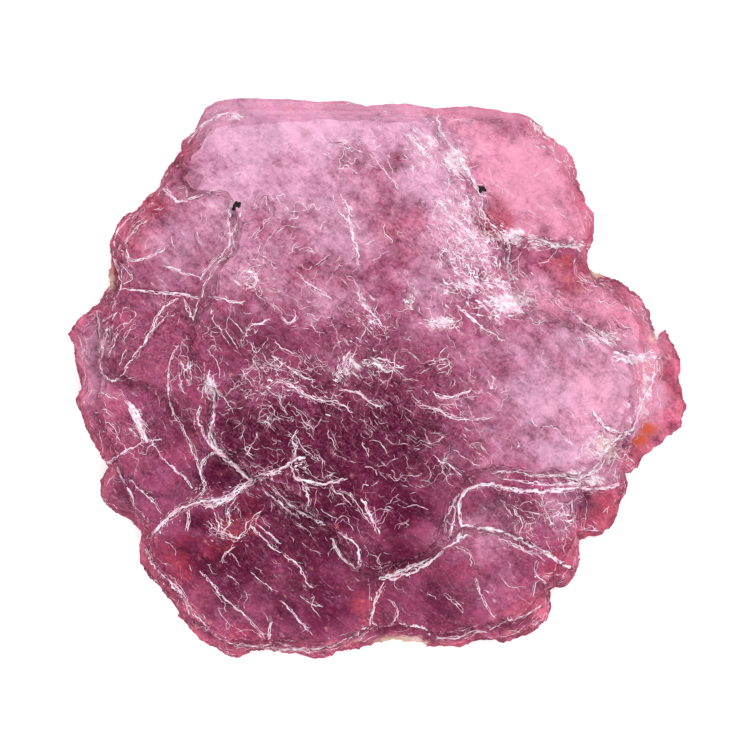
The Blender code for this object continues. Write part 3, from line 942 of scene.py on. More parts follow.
# The patterns of the mica, by their names.
def micaPatterns(tree, filaments, tornScales):
    straight = inMillimetres(tree)
    slanted = node(tree, "ShaderNodeMapping", vector_type="TEXTURE", Vector=straight, Scale=micaLooks["stretch"],
                   Rotation=(0.0, 0.0, math.radians(micaLooks["slant"])))
    aside = node(tree, "ShaderNodeMapping", Vector=straight, Location=micaLooks["aside"])
    p = {"straight": straight, "slanted": slanted.outputs["Vector"], "aside": aside.outputs["Vector"]}
    for name, (vector, scale, detail, roughness) in micaLooks["noises"].items():
        p[name] = noiseOf(tree, p[vector], scale, detail, roughness)
    p["clouds"] = mixed(tree, p, micaLooks["clouds"])
    for name, (vector, scale) in micaLooks["creases"].items():
        p[name] = creasesOf(tree, p[vector], scale)
    p["crazed"] = attribute(tree, "crazed")
    p["leafTone"] = attribute(tree, "leafTone")
    calm, crazed = micaLooks["crumbled"]
    p["crumbled"] = plus(tree, calm, times(tree, p["crazed"], crazed))
    for name, (vector, scale, width, warp, calm, crazed) in micaLooks["scales"].items():
        cover = plus(tree, calm, times(tree, p["crazed"], crazed))
        made = node(tree, "ShaderNodeGroup", node_tree=tornScales, Vector=p[vector], Scale=scale, Width=width,
                    Warp=warp, Cover=cover)
        for part in ("Tone", "Bright", "Dark"):
            p[name + part] = made.outputs[part]
    for name, (vector, scale, width, warp, cover) in micaLooks["filaments"].items():
        made = node(tree, "ShaderNodeGroup", node_tree=filaments, Vector=p[vector], Scale=scale, Width=width,
                    Warp=warp, Cover=cover)
        p[name] = made.outputs["Line"]
    return p


# The soft colours, from dark to pale.
def micaColours(tree, p):
    colour = colours["body"]
    for name, over, low, high, cover in micaLooks["washes"]:
        colour = blendColour(tree, colour, colours[over], times(tree, ramp(tree, p[name], low, high), cover))
    for name, over, jitter, low, high, cover in micaLooks["tones"]:
        p[name] = cloudy(tree, attribute(tree, name), p["clouds"], jitter, low, high)
        colour = blendColour(tree, colour, colours[over], times(tree, p[name], cover))
    p["lively"] = minus(tree, 1.0, times(tree, larger(tree, p["airHazeAndSheen"], p["candy"]), micaLooks["calm"]))
    p["clear"] = minus(tree, 1.0, times(tree, p["deep"], micaLooks["clear"]))
    return colour


# Light and dark grain, painted shadow lines beside the torn scales, pits, painted sheen and specks.
def micaGrain(tree, p, colour):
    p["patches"] = minus(tree, mixed(tree, p, micaLooks["patches"]), micaLooks["patchMean"])
    folds = minus(tree, mixed(tree, p, micaLooks["folds"]), micaLooks["foldMean"])
    p["folds"] = times(tree, folds, p["crumbled"])
    shade = plus(tree, mixed(tree, p, micaLooks["shade"]), p["patches"], p["folds"])
    shade = plus(tree, times(tree, minus(tree, shade, micaLooks["shadeMean"]), p["lively"]), 1.0)
    shade = larger(tree, shade, micaLooks["shadeLeast"])
    colour = node(tree, "ShaderNodeHueSaturation", Color=colour, Value=shade).outputs["Color"]

    # Painted shadow: dark lines beside the torn scales' bright edges.
    shadowLines = times(tree, larger(tree, p["bigDark"], p["smallDark"]), p["lively"], micaLooks["shadowLines"])
    pits = ramp(tree, p["fineCreases"], *micaLooks["pits"], falling=True)
    pits = times(tree, pits, p["lively"], p["crumbled"], micaLooks["pitDepth"])
    colour = blendColour(tree, colour, colours["deep"], larger(tree, shadowLines, pits))
    # Painted sheen: pale streaks of the haze colour stand for the gloss of the faces.
    sheen = times(tree, ramp(tree, p["streaks"], *micaLooks["sheen"]), p["clear"], micaLooks["sheenShare"])
    colour = blendColour(tree, colour, colours["airHazeAndSheen"], sheen)
    dark = ramp(tree, p["specks"], *micaLooks["darkSpecks"], falling=True)
    dark = times(tree, dark, p["crumbled"], p["lively"], micaLooks["speckShare"])
    colour = blendColour(tree, colour, colours["deep"], dark)
    pale = ramp(tree, p["specks"], *micaLooks["paleSpecks"])
    pale = times(tree, pale, p["crumbled"], p["clear"], micaLooks["speckShare"])
    return blendColour(tree, colour, colours["line"], pale)


# White lines, frosted patches and frosted edges.
def micaFrost(tree, p, colour):
    darkWeb = times(tree, p["darkWeb"], p["crumbled"], p["lively"], micaLooks["darkWebShare"])
    colour = blendColour(tree, colour, colours["deep"], darkWeb)
    faint = times(tree, p["crazed"], p["clear"])
    bright = [times(tree, p[name], share) for name, share in micaLooks["lines"].items()]
    lines = [
        times(tree, larger(tree, *bright), p["clear"]),
        times(tree, p["fine"], micaLooks["fineShare"]),
        times(tree, p["web"], faint, micaLooks["webShare"]),
    ]
    for name, share in micaLooks["creasedShares"].items():
        lines.append(times(tree, ramp(tree, p[name], *micaLooks["creased"]), faint, share))
    p["lines"] = larger(tree, *lines)
    frosted = cloudy(tree, attribute(tree, "frost"), p["streaks"], *micaLooks["frost"])
    edges = cloudy(tree, attribute(tree, "edgeFrost"), p["grain"], *micaLooks["edgeFrost"])
    white = times(tree, frosted, micaLooks["frostShare"])
    p["white"] = larger(tree, white, edges)
    colour = blendColour(tree, colour, colours["line"], p["lines"])
    colour = blendColour(tree, colour, colours["lip"], times(tree, edges, micaLooks["lipShare"]))
    return blendColour(tree, colour, colours["frost"], white)


# Rust and clay.
def micaStains(tree, p, colour):
    rusty = cloudy(tree, attribute(tree, "rust"), p["clouds"], *micaLooks["rust"])
    even, grainy = micaLooks["rustShare"]
    rusty = times(tree, rusty, plus(tree, even, times(tree, p["grain"], grainy)))
    colour = blendColour(tree, colour, colours["rust"], rusty)
    clayey = cloudy(tree, attribute(tree, "clay"), p["clouds"], *micaLooks["clay"])
    return blendColour(tree, colour, colours["clay"], times(tree, clayey, micaLooks["clayShare"]))


# Rose mica: tone areas, mottling, crazed white lines, stains, pearly gloss.
def makeMica(filaments, tornScales):
    material, tree, shader = newMaterial("roseMica")
    p = micaPatterns(tree, filaments, tornScales)
    colour = micaColours(tree, p)
    for layer in (micaGrain, micaFrost, micaStains):
        colour = layer(tree, p, colour)
    feed(tree, shader.inputs["Base Color"], colour)
    rougher = mixed(tree, p, micaLooks["rougher"])
    feed(tree, shader.inputs["Roughness"], plus(tree, rougher, micaLooks["roughness"]))
    shader.inputs["Specular IOR Level"].default_value = micaLooks["specular"]
    height = mixed(tree, p, micaLooks["height"])
    bump = node(tree, "ShaderNodeBump", Strength=micaLooks["bump"], Distance=micaLooks["bumpDepth"], Height=height)
    feed(tree, shader.inputs["Normal"], bump.outputs["Normal"])
    return material


# The frost on threads and flakes, from the palest to the darkest: colour and roughness.
frosts = {
    "whiteFrost": ((0.95, 0.87, 0.92), 0.35), "pinkFrost": ((0.72, 0.38, 0.51), 0.38),
    "roseFrost": ((0.56, 0.165, 0.26), 0.40), "wineFrost": ((0.36, 0.09, 0.17), 0.42),
}
# Colour and roughness of the dark lines of painted shadow that are laid beside the cracks.
crackShadowLooks = ((0.10, 0.008, 0.034), 0.35)
frostLooks = {
    "patches": (2.0, 3.0, 0.6), "patchy": (0.38, 0.60),  # scale, detail, roughness; where they start and are full
    "thin": (0.84, 0.55, 0.68),  # what is left of the colour between the patches
    "rougher": 0.12,
}


# Pale, air-filled edges of the thinnest flakes.
def makeFrost(name, colour, roughness):
    material, tree, shader = newMaterial(name)
    patchy = ramp(tree, noiseOf(tree, inMillimetres(tree), *frostLooks["patches"]), *frostLooks["patchy"])
    thin = tuple(c * k for c, k in zip(colour, frostLooks["thin"]))
    feed(tree, shader.inputs["Base Color"], blendColour(tree, thin, colour, patchy))
    feed(tree, shader.inputs["Roughness"], plus(tree, roughness, times(tree, patchy, frostLooks["rougher"])))
    return material


grainLooks = {
    "dark": (0.006, 0.005, 0.007), "pale": (0.12, 0.08, 0.08),
    "specks": (3.2, 3.0, 0.6), "speckled": (0.52, 0.75), "roughness": 0.40, "rougher": 0.3, "specular": 0.2,
}


# A dark mineral grain that grew in the mica.
def makeDarkGrain():
    material, tree, shader = newMaterial("darkGrain")
    specks = noiseOf(tree, inMillimetres(tree), *grainLooks["specks"])
    speckled = ramp(tree, specks, *grainLooks["speckled"])
    colour = blendColour(tree, grainLooks["dark"], grainLooks["pale"], speckled)
    feed(tree, shader.inputs["Base Color"], colour)
    rough = plus(tree, grainLooks["roughness"], times(tree, specks, grainLooks["rougher"]))
    feed(tree, shader.inputs["Roughness"], rough)
    shader.inputs["Specular IOR Level"].default_value = grainLooks["specular"]
    return material


# Cracks and broken edges that show as white lines: the route as photo pixels, how far its threads
# wander in pixels, how many threads, how pale they are (0 white, 1 pink, 2 rose, 3 wine), and the
# radius in millimetres of the bold line along it, if it has one.
cracks = {
    "nearLedge": ([(379, 578), (391, 579), (402, 576), (415, 571), (427, 566), (433, 560)],
                  0.7, 5, 0, 0.16),
    "nearLedgeMid": ([(385, 577), (398, 573), (410, 569), (422, 565), (431, 561)], 0.7, 4, 0, 0.13),
    "nearLedgeTop": ([(394, 573), (407, 568), (420, 563), (432, 557)], 0.7, 4, 0, 0.08),
    "nearLedgeOn": ([(430, 562), (437, 557), (444, 551)], 0.7, 3, 1, 0.06),
    "ledgeFoot": ([(443, 549), (450, 545), (458, 540), (468, 536)], 1.0, 4, 0, 0.14),
    "ledgeRise": ([(457, 541), (461, 530), (460, 515), (460, 502), (464, 493), (471, 489), (480, 486),
                   (490, 484)], 1.2, 5, 0, 0.14),
    "ledgeRiseTwin": ([(447, 545), (452, 531), (455, 515), (455, 502), (459, 493)], 1.4, 4, 0, 0.05),
    "ledgeRiseBack": ([(446, 533), (446, 521), (451, 509), (456, 498)], 1.0, 3, 1, 0.04),
    "ledgeTop": ([(488, 484), (500, 487), (515, 490), (530, 492), (545, 492), (560, 491), (575, 489),
                  (590, 490), (605, 490), (624, 485)], 1.3, 7, 0, 0.18),
    "ledgeTopTwin": ([(492, 475), (505, 472), (520, 472), (530, 476), (545, 477), (560, 475), (572, 479),
                      (585, 476), (600, 469), (606, 458)], 1.3, 5, 0, 0.10),
    "ledgeTopThird": ([(503, 479), (520, 482), (540, 484), (560, 485), (575, 483), (590, 482)],
                      1.4, 4, 1, 0.05),
    "ledgeBack": ([(576, 480), (590, 473), (598, 465), (606, 449), (619, 438), (634, 430), (639, 415),
                   (644, 399), (652, 384), (659, 370), (660, 358)], 1.4, 8, 0, 0.13),
    "secondLedge": ([(462, 526), (475, 527), (485, 529), (495, 531), (507, 534), (520, 541), (535, 548),
                     (547, 555), (560, 563), (571, 569)], 1.0, 6, 0, 0.20),
    "secondLedgeTwin": ([(478, 532), (492, 536), (505, 541), (517, 547), (530, 553), (545, 561)],
                        0.9, 3, 1, 0.05),
    "leftScarp": ([(208, 382), (213, 390), (215, 402), (214, 415), (210, 427), (210, 440), (216, 450),
                   (226, 458), (236, 467), (246, 478), (252, 482)], 1.3, 8, 0, 0.16),
    "leftScarpOn": ([(214, 418), (211, 432), (217, 450), (227, 460), (238, 470), (248, 479)],
                    1.0, 4, 0, 0.13),
    "leftScarpTwin": ([(201, 405), (197, 417), (202, 428), (206, 440), (213, 449)], 1.4, 4, 0, 0.06),
    "scarpFan": ([(214, 388), (222, 397), (229, 406), (234, 415)], 1.4, 3, 1, 0),
    "lowScarp": ([(268, 484), (280, 496), (292, 506), (302, 514), (312, 519), (326, 525)], 1.3, 5, 0, 0.09),
    "lowScarpTwin": ([(262, 489), (274, 500), (288, 511), (300, 518)], 1.0, 3, 1, 0.04),
    "hook": ([(331, 538), (336, 549), (343, 559), (351, 566), (358, 567), (361, 557), (357, 545),
              (348, 536), (337, 530)], 1.1, 5, 0, 0.11),
    "pinkRidge": ([(146, 541), (158, 530), (170, 519), (182, 509), (195, 503), (210, 502), (225, 498),
                   (238, 490), (250, 480), (265, 474), (280, 470), (291, 463)], 4.5, 14, 2, 0.08),
    "pinkKnot": ([(206, 522), (214, 530), (226, 534), (236, 540), (246, 532), (250, 520), (262, 512)],
                 3.0, 9, 2, 0.06),
    "pinkKnotUp": ([(222, 534), (230, 522), (228, 510), (236, 498)], 2.4, 6, 2, 0.05),
    "pinkRidgeSide": ([(205, 508), (218, 505), (232, 498), (243, 489), (256, 482), (268, 478)],
                      2.6, 8, 2, 0.07),
    "pinkRidgeWhite": ([(146, 540), (156, 530), (166, 521), (176, 512), (184, 507)], 0.8, 3, 0, 0.09),
    "pinkRidgeUp": ([(197, 500), (206, 488), (201, 472), (205, 460), (214, 454), (226, 450)],
                    2.4, 6, 2, 0.06),
    "pinkRidgeOn": ([(291, 463), (296, 450), (293, 440), (299, 430)], 1.4, 4, 2, 0.05),
    "hollowTop": ([(286, 466), (296, 460), (306, 458)], 1.0, 4, 0, 0.09),
    "hollowRim": ([(290, 465), (296, 478), (305, 481), (316, 484), (326, 484), (338, 481), (348, 479)],
                  0.7, 4, 0, 0.10),
    "hollowSide": ([(300, 480), (305, 490), (308, 500), (307, 510), (314, 517)], 0.9, 4, 0, 0.06),
    "hollowFar": ([(330, 485), (337, 493), (345, 497), (352, 505)], 1.0, 3, 1, 0.04),
    "whiteStreak": ([(125, 400), (132, 410), (138, 422), (143, 432), (147, 443)], 0.5, 5, 0, 0.20),
    "whiteStreakOn": ([(129, 408), (134, 419), (139, 430), (143, 441)], 0.7, 5, 0, 0.13),
    "whiteStreakFan": ([(131, 405), (139, 416), (147, 427)], 1.0, 5, 1, 0.06),
    "whiteStreakUp": ([(145, 440), (154, 441), (164, 441)], 1.4, 3, 1, 0),
    "leftPlateEdge": ([(96, 309), (97, 325), (99, 342), (100, 358)], 0.7, 3, 0, 0.10),
    "leftPlateTurn": ([(101, 362), (102, 373), (109, 380), (120, 380)], 0.9, 4, 0, 0.07),
    "leftPlateInner": ([(108, 326), (104, 340), (101, 356)], 0.8, 3, 1, 0.04),
    "leftPlateRise": ([(121, 378), (127, 369), (135, 358), (145, 345), (152, 333), (162, 323), (171, 313)],
                      1.0, 4, 0, 0.08),
    "leftPlateRiseOn": ([(152, 333), (158, 318), (167, 306), (180, 300)], 1.6, 4, 1, 0.05),
    "leftPlateFork": ([(122, 366), (124, 356), (127, 349)], 0.6, 2, 1, 0),
    "leftSeam": ([(119, 289), (140, 291), (160, 294), (180, 295), (201, 299)], 0.5, 3, 0, 0.09),
    "leftSeamUp": ([(203, 298), (206, 285), (213, 274), (221, 263), (230, 256), (236, 246)],
                   1.2, 5, 1, 0.05),
    "leftSeamTwin": ([(202, 281), (208, 270), (216, 261), (227, 252)], 0.9, 3, 1, 0.04),
    "leftLongLine": ([(163, 266), (174, 270), (188, 275), (203, 280)], 0.5, 2, 0, 0.05),
    "seamWedge": ([(183, 297), (188, 309), (193, 321)], 0.7, 3, 1, 0.05),
    "seamWedgeTwin": ([(199, 300), (195, 311), (192, 322)], 0.7, 3, 1, 0.04),
    "grainVeinLeft": ([(232, 200), (229, 215), (229, 230), (230, 243), (222, 256)], 0.9, 3, 0, 0.06),
    "grainVeinRight": ([(240, 213), (237, 224), (233, 235), (236, 250)], 0.8, 3, 0, 0.07),
    "cornerLip": ([(187, 143), (192, 135), (200, 127), (210, 121), (220, 117), (230, 114), (239, 115),
                   (243, 119)], 1.1, 5, 0, 0.12),
    "shoulderLip": ([(155, 187), (165, 192), (172, 199), (178, 202), (188, 201)], 1.0, 4, 0, 0.14),
    "shoulderLipOn": ([(188, 201), (200, 197), (212, 193), (226, 191)], 0.8, 3, 0, 0.06),
    "shoulderLoop": ([(178, 190), (185, 188), (187, 195), (182, 201)], 0.5, 2, 0, 0.05),
    "leftArc": ([(147, 219), (137, 228), (128, 238), (118, 247), (123, 254), (131, 261), (142, 260),
                 (155, 255), (170, 246)], 0.5, 3, 0, 0.06),
    "leftArcEnd": ([(170, 236), (173, 246), (177, 252)], 0.5, 2, 1, 0),
    "leftRimLine": ([(131, 213), (120, 225), (113, 238), (112, 254), (115, 265), (120, 278), (121, 290)],
                    1.0, 4, 0, 0.09),
    "leftBay": ([(118, 262), (127, 270), (132, 278), (123, 284)], 0.7, 2, 1, 0.04),
    "middleVein": ([(340, 195), (346, 208), (350, 222), (352, 237), (356, 250), (358, 266)],
                   0.9, 5, 0, 0.09),
    "middleVeinLeft": ([(331, 196), (336, 209), (346, 221), (351, 236)], 1.2, 4, 1, 0.04),
    "middleVeinOn": ([(357, 293), (361, 304), (370, 312), (378, 322), (386, 331)], 1.8, 6, 0, 0.07),
    "scarpA": ([(278, 381), (290, 387), (305, 395), (320, 401), (334, 402), (346, 407), (352, 413)],
               1.0, 5, 0, 0.09),
    "scarpB": ([(339, 390), (352, 392), (362, 396), (371, 403), (381, 409)], 1.0, 4, 0, 0.08),
    "scarpC": ([(418, 405), (432, 409), (442, 412), (452, 418), (465, 420), (480, 420), (492, 417)],
               0.8, 3, 0, 0.05),
    "scarpD": ([(433, 391), (438, 397), (450, 398), (462, 394), (471, 391)], 0.9, 3, 0, 0.08),
    "scarpE": ([(272, 355), (281, 362), (292, 370), (303, 377), (316, 382)], 1.0, 4, 0, 0.05),
    "scarpF": ([(432, 455), (440, 461), (450, 466), (461, 476)], 0.8, 3, 0, 0.05),
    "paleRib": ([(361, 498), (367, 510), (373, 522), (379, 534)], 1.8, 5, 2, 0.10),
    "nearVein": ([(250, 526), (262, 537), (272, 547), (283, 554)], 0.8, 3, 0, 0.06),
    "nearVeinTwin": ([(256, 523), (268, 533), (281, 544)], 0.7, 3, 1, 0.04),
    "nearVeinOn": ([(283, 554), (292, 561), (300, 568), (304, 578), (313, 588)], 1.0, 4, 1, 0.07),
    "smallFork": ([(187, 508), (188, 520), (186, 531)], 0.6, 3, 0, 0.06),
    "leftPeak": ([(222, 563), (227, 553), (235, 546)], 0.8, 3, 1, 0.06),
    "leftPeakOn": ([(228, 552), (236, 560), (242, 568)], 0.5, 2, 1, 0),
    "longScratch": ([(200, 571), (212, 585), (225, 600), (240, 612), (255, 627), (264, 639)],
                    1.2, 4, 1, 0.04),
    "longScratchB": ([(280, 601), (292, 612), (302, 624), (311, 636)], 0.9, 3, 1, 0.04),
    "longScratchC": ([(474, 578), (480, 594), (487, 608), (496, 620)], 0.6, 2, 1, 0.04),
    "pinkLoop": ([(384, 582), (379, 592), (374, 604), (371, 616), (368, 630)], 1.3, 5, 1, 0.09),
    "pinkLoopRight": ([(371, 622), (380, 628), (391, 625), (398, 615), (395, 604), (389, 598)],
                      1.4, 4, 1, 0.04),
    "pinkLoopOn": ([(399, 624), (410, 626), (421, 628), (431, 636)], 1.1, 4, 0, 0.08),
    "pinkLoopLeft": ([(357, 644), (366, 634), (374, 628)], 1.1, 3, 1, 0.06),
    "nearRimLine": ([(144, 549), (151, 563), (162, 577), (176, 589), (187, 604), (198, 618), (208, 631),
                     (221, 640), (235, 645)], 1.8, 7, 1, 0.08),
    "nearRimLineB": ([(235, 645), (258, 649), (285, 651), (310, 650), (335, 646), (353, 637), (366, 628)],
                     1.8, 7, 1, 0.08),
    "nearSpur": ([(272, 648), (270, 636), (272, 622)], 1.3, 4, 1, 0.08),
    "nearRightArc": ([(490, 632), (500, 626), (510, 621), (519, 620), (530, 615), (543, 606)],
                     1.0, 4, 1, 0.07),
    "nearRightRim": ([(436, 640), (450, 640), (463, 637), (476, 633), (488, 633)], 1.2, 4, 1, 0.08),
    "nearRightLip": ([(534, 575), (543, 580), (550, 589)], 1.0, 3, 1, 0.07),
    "rightStreak": ([(612, 354), (625, 357), (640, 359), (657, 358)], 1.8, 8, 0, 0.14),
    "rightStreakB": ([(575, 316), (583, 324), (596, 332), (608, 338), (619, 341)], 1.6, 5, 0, 0.09),
    "rightArc": ([(590, 409), (596, 417), (602, 425), (612, 431), (624, 433), (634, 430)], 1.4, 6, 0, 0.10),
    "farRightLedge": ([(505, 240), (516, 243), (528, 237), (543, 241), (556, 247), (571, 247), (590, 246)],
                      1.6, 6, 0, 0.10),
    "farRightStep": ([(437, 114), (438, 126), (446, 143), (456, 157), (466, 171), (474, 186), (479, 197)],
                     1.4, 7, 0, 0.14),
    "farRightDrop": ([(480, 198), (482, 214), (493, 228), (508, 243), (508, 262), (514, 285)],
                     1.6, 6, 0, 0.09),
    "nearLeftLip": ([(116, 467), (122, 479), (131, 496), (132, 511)], 0.8, 4, 0, 0.09),
    "nearLeftSeam": ([(106, 464), (118, 457), (130, 450), (143, 443)], 1.0, 4, 1, 0.07),
    "nearLeftArch": ([(150, 440), (160, 455), (172, 468), (185, 479), (193, 488)], 1.0, 4, 1, 0.05),
    "nearLeftScratch": ([(128, 478), (141, 491), (154, 503), (161, 514)], 0.8, 3, 1, 0.03),
    "leftNotch": ([(92, 391), (105, 395), (117, 401)], 0.8, 3, 1, 0.04),
    "leftFall": ([(178, 344), (171, 358), (169, 374), (168, 392), (171, 410), (180, 424)], 1.3, 4, 1, 0.04),
    "leftFallB": ([(180, 424), (187, 440), (194, 456), (200, 473)], 1.8, 5, 2, 0.05),
    "farSeam": ([(370, 155), (380, 167), (390, 180), (399, 192)], 0.7, 3, 1, 0.04),
    "midSlant": ([(455, 306), (465, 314), (476, 323), (490, 334), (504, 342)], 0.8, 4, 0, 0.07),
    "midSlantB": ([(296, 274), (308, 284), (320, 292), (332, 300)], 1.6, 4, 2, 0.05),
    "midCurl": ([(281, 318), (289, 324), (297, 318), (294, 309)], 0.7, 3, 0, 0.07),
    "midCurlB": ([(246, 336), (252, 326), (260, 324), (271, 320)], 1.0, 4, 0, 0.08),
    "triangle": ([(485, 379), (490, 390), (495, 378)], 0.6, 2, 0, 0.04),
    "ring": ([(241, 279), (246, 273), (254, 274), (257, 281), (254, 287), (247, 285)], 0.8, 3, 0, 0.06),
    "ringTail": ([(258, 284), (260, 293), (259, 300)], 0.5, 2, 1, 0),
    "seamRight": ([(208, 298), (221, 300), (234, 303), (246, 303)], 0.6, 3, 0, 0.05),
}

# Thin single lines: how pale, and the route as photo pixels.
fineLines = [
    (0, [(290, 405), (300, 415), (307, 425), (315, 430)]), (0, [(327, 430), (331, 440), (336, 450)]),
    (1, [(295, 435), (300, 446), (309, 454), (320, 460)]), (1, [(361, 443), (366, 451), (368, 457)]),
    (1, [(365, 466), (372, 467), (377, 475)]), (1, [(369, 442), (377, 442), (384, 447), (386, 454)]),
    (0, [(433, 455), (438, 461), (440, 468), (443, 473)]), (1, [(452, 450), (462, 457), (469, 460), (475, 466)]),
    (0, [(470, 445), (479, 444), (487, 452)]), (1, [(390, 470), (397, 479), (404, 476), (420, 475)]),
    (1, [(407, 506), (417, 505), (428, 509)]), (0, [(400, 351), (408, 352), (414, 357), (417, 361)]),
    (0, [(437, 362), (444, 361), (449, 367), (446, 374)]), (0, [(462, 312), (470, 319), (479, 325)]),
    (1, [(352, 497), (360, 508), (367, 519)]), (0, [(340, 491), (348, 495), (353, 502)]),
    (1, [(207, 350), (214, 359), (220, 370), (219, 378)]), (1, [(210, 310), (214, 320), (221, 332), (230, 345)]),
    (1, [(230, 320), (239, 327), (247, 338)]), (0, [(252, 360), (260, 371), (258, 384)]),
    (1, [(263, 352), (268, 362), (280, 369)]), (0, [(275, 342), (285, 349), (295, 354)]),
    (0, [(287, 382), (296, 387), (303, 393)]), (1, [(250, 345), (256, 352), (262, 349)]),
    (0, [(276, 395), (283, 406), (289, 414)]), (1, [(268, 404), (276, 415), (284, 421)]),
    (1, [(258, 422), (267, 424), (275, 431)]), (1, [(240, 370), (248, 378), (253, 387)]),
    (1, [(226, 330), (233, 341), (238, 349)]), (0, [(300, 252), (308, 249), (316, 254)]),
    (0, [(316, 268), (322, 261), (330, 257)]), (0, [(373, 262), (380, 257), (389, 254)]),
    (1, [(383, 225), (386, 236), (392, 244)]), (0, [(340, 170), (348, 168), (357, 176)]),
    (1, [(345, 150), (340, 160), (338, 171)]), (1, [(378, 122), (381, 114), (392, 112)]),
    (0, [(325, 148), (337, 146), (350, 150)]), (1, [(250, 240), (262, 230), (270, 221)]),
    (1, [(196, 228), (197, 238), (201, 247)]), (0, [(276, 234), (286, 229), (298, 231)]),
    (1, [(262, 256), (270, 262), (276, 270)]), (0, [(262, 205), (266, 198), (268, 207)]),
    (0, [(540, 432), (545, 427), (553, 428), (560, 434)]), (1, [(530, 418), (532, 424), (536, 427)]),
    (1, [(537, 560), (533, 570), (536, 577)]), (1, [(534, 501), (543, 508), (548, 517)]),
    (0, [(572, 500), (572, 514), (577, 530)]), (0, [(585, 499), (587, 513), (584, 527), (588, 538)]),
    (1, [(560, 505), (566, 515), (570, 526)]), (1, [(515, 513), (520, 522), (518, 534)]),
    (1, [(455, 548), (466, 553), (472, 566)]), (1, [(443, 594), (452, 603), (462, 614)]),
    (1, [(300, 596), (310, 604), (322, 609)]), (1, [(250, 573), (261, 582), (272, 592)]),
    (1, [(165, 542), (172, 547), (175, 556)]), (1, [(214, 512), (218, 524), (216, 536)]),
    (1, [(108, 355), (115, 345), (118, 333)]), (1, [(125, 345), (130, 333), (139, 326)]),
    (1, [(104, 420), (113, 430), (120, 441)]), (1, [(95, 415), (104, 411), (113, 416)]),
    (0, [(180, 372), (181, 384), (187, 395)]), (0, [(186, 363), (191, 374), (189, 386)]),
    (0, [(556, 250), (549, 259), (538, 262)]), (1, [(553, 300), (563, 309), (576, 313)]),
    (0, [(598, 300), (609, 306), (617, 303)]), (1, [(612, 318), (622, 327), (633, 329)]),
    (1, [(527, 318), (536, 325), (547, 322)]), (0, [(380, 551), (376, 561), (382, 567)]),
    (0, [(336, 523), (344, 517), (350, 522)]), (1, [(320, 510), (330, 514), (338, 520)]),
    (1, [(315, 597), (312, 608), (320, 618)]), (1, [(212, 590), (221, 600), (226, 612)]),
]

threadLooks = {
    "step": 0.16,  # distance between the points of a thread
    "core": (0.032, 0.056), "side": (0.014, 0.030),  # radii of the brighter threads and of the thin ones
    "bold": 0.85,  # how much of its radius a bold line has
    "share": 0.6,  # how many of the threads of a crack are drawn
    "sink": 0.35,  # how much of its radius a thread lies in the face
    "drop": 0.36,  # a thread stops where the face falls more between two points
    "swell": 2.6,  # waves of its thickness in a millimetre
    "taper": (0.25, 0.75, 0.6), "swells": (0.65, 1.7),
    "steadyTaper": (0.45, 0.55, 0.3),  # at its tips, more in its middle, and how blunt
    "steadySwells": (1.0, 1.1, 0.4),  # mean, swing and least
    "least": 0.006,
    "shades": 3,  # the number of the darkest frost
}

# How a torn line leaves its route: waves for each millimetre, and how much each adds.
tornLooks = {"slow": (0.5, 0.8), "quick": (2.1, 0.5), "step": (1.9, 0.14)}

# Short side breaks: distance between them, degrees they turn by, points, their spacing and wandering.
spurs = {"every": 1.1, "turn": (20, 75), "points": 3, "spacing": 0.8, "wander": 0.35}

crackLooks = {
    "boldWander": 0.4,  # how much of its crack's wandering a bold line has
    "twinAside": 0.8, "twinWander": 0.6, "twinRadius": 0.55, "twinOver": 3,  # the half line beside it
    "long": (0.8, 1.0), "short": (0.2, 0.7), "shortest": 4,  # shares of the route that threads cover
    "spread": 0.5, "sideSpread": 1.1, "paler": 0.6, "spur": 0.5, "sideSpur": 0.25,
    # the dark line of painted shadow: the bold radius below which it is drawn, its share, how far aside, its
    # wandering and radius
    "shadowBelow": 0.14, "crackShadows": 0.6, "shadowAside": 0.06, "shadowWander": 0.4, "shadowRadius": (0.02, 0.045),
}
fineLooks = {
    "wander": 0.08, "radius": (0.035, 0.055),
    # the dark line of painted shadow beside a fine line, and its paler twin
    "shadowAside": 0.10, "shadowWander": 0.05, "shadowRadius": (0.02, 0.04),
    "twins": 0.6, "twinAside": 0.2, "twinWander": 0.15, "twinRadius": 0.022,
}


# A smooth curve through the given points, as points an even step apart: a Catmull-Rom spline.
def smoothRoute(points, step):
    ends = [points[0] * 2 - points[1], *points, points[-1] * 2 - points[-2]]
    result = []
    for a, b, c, d in zip(ends, ends[1:], ends[2:], ends[3:]):
        pieces = max(1, round((c - b).length / step))
        for i in range(pieces):
            t = i / pieces
            result.append(0.5 * (2 * b + (c - a) * t + (2 * a - 5 * b + 4 * c - d) * t * t
                                 + (3 * b - a - 3 * c + d) * t * t * t))
    return result + [points[-1].copy()]


# A crack's route from its photo pixels, and the ways to its side.
def routeOf(pixels):
    route = smoothRoute([place(*p) for p in pixels], threadLooks["step"])
    ways = inwards(route)
    ways[0], ways[-1] = ways[1], ways[-2]
    return route, ways


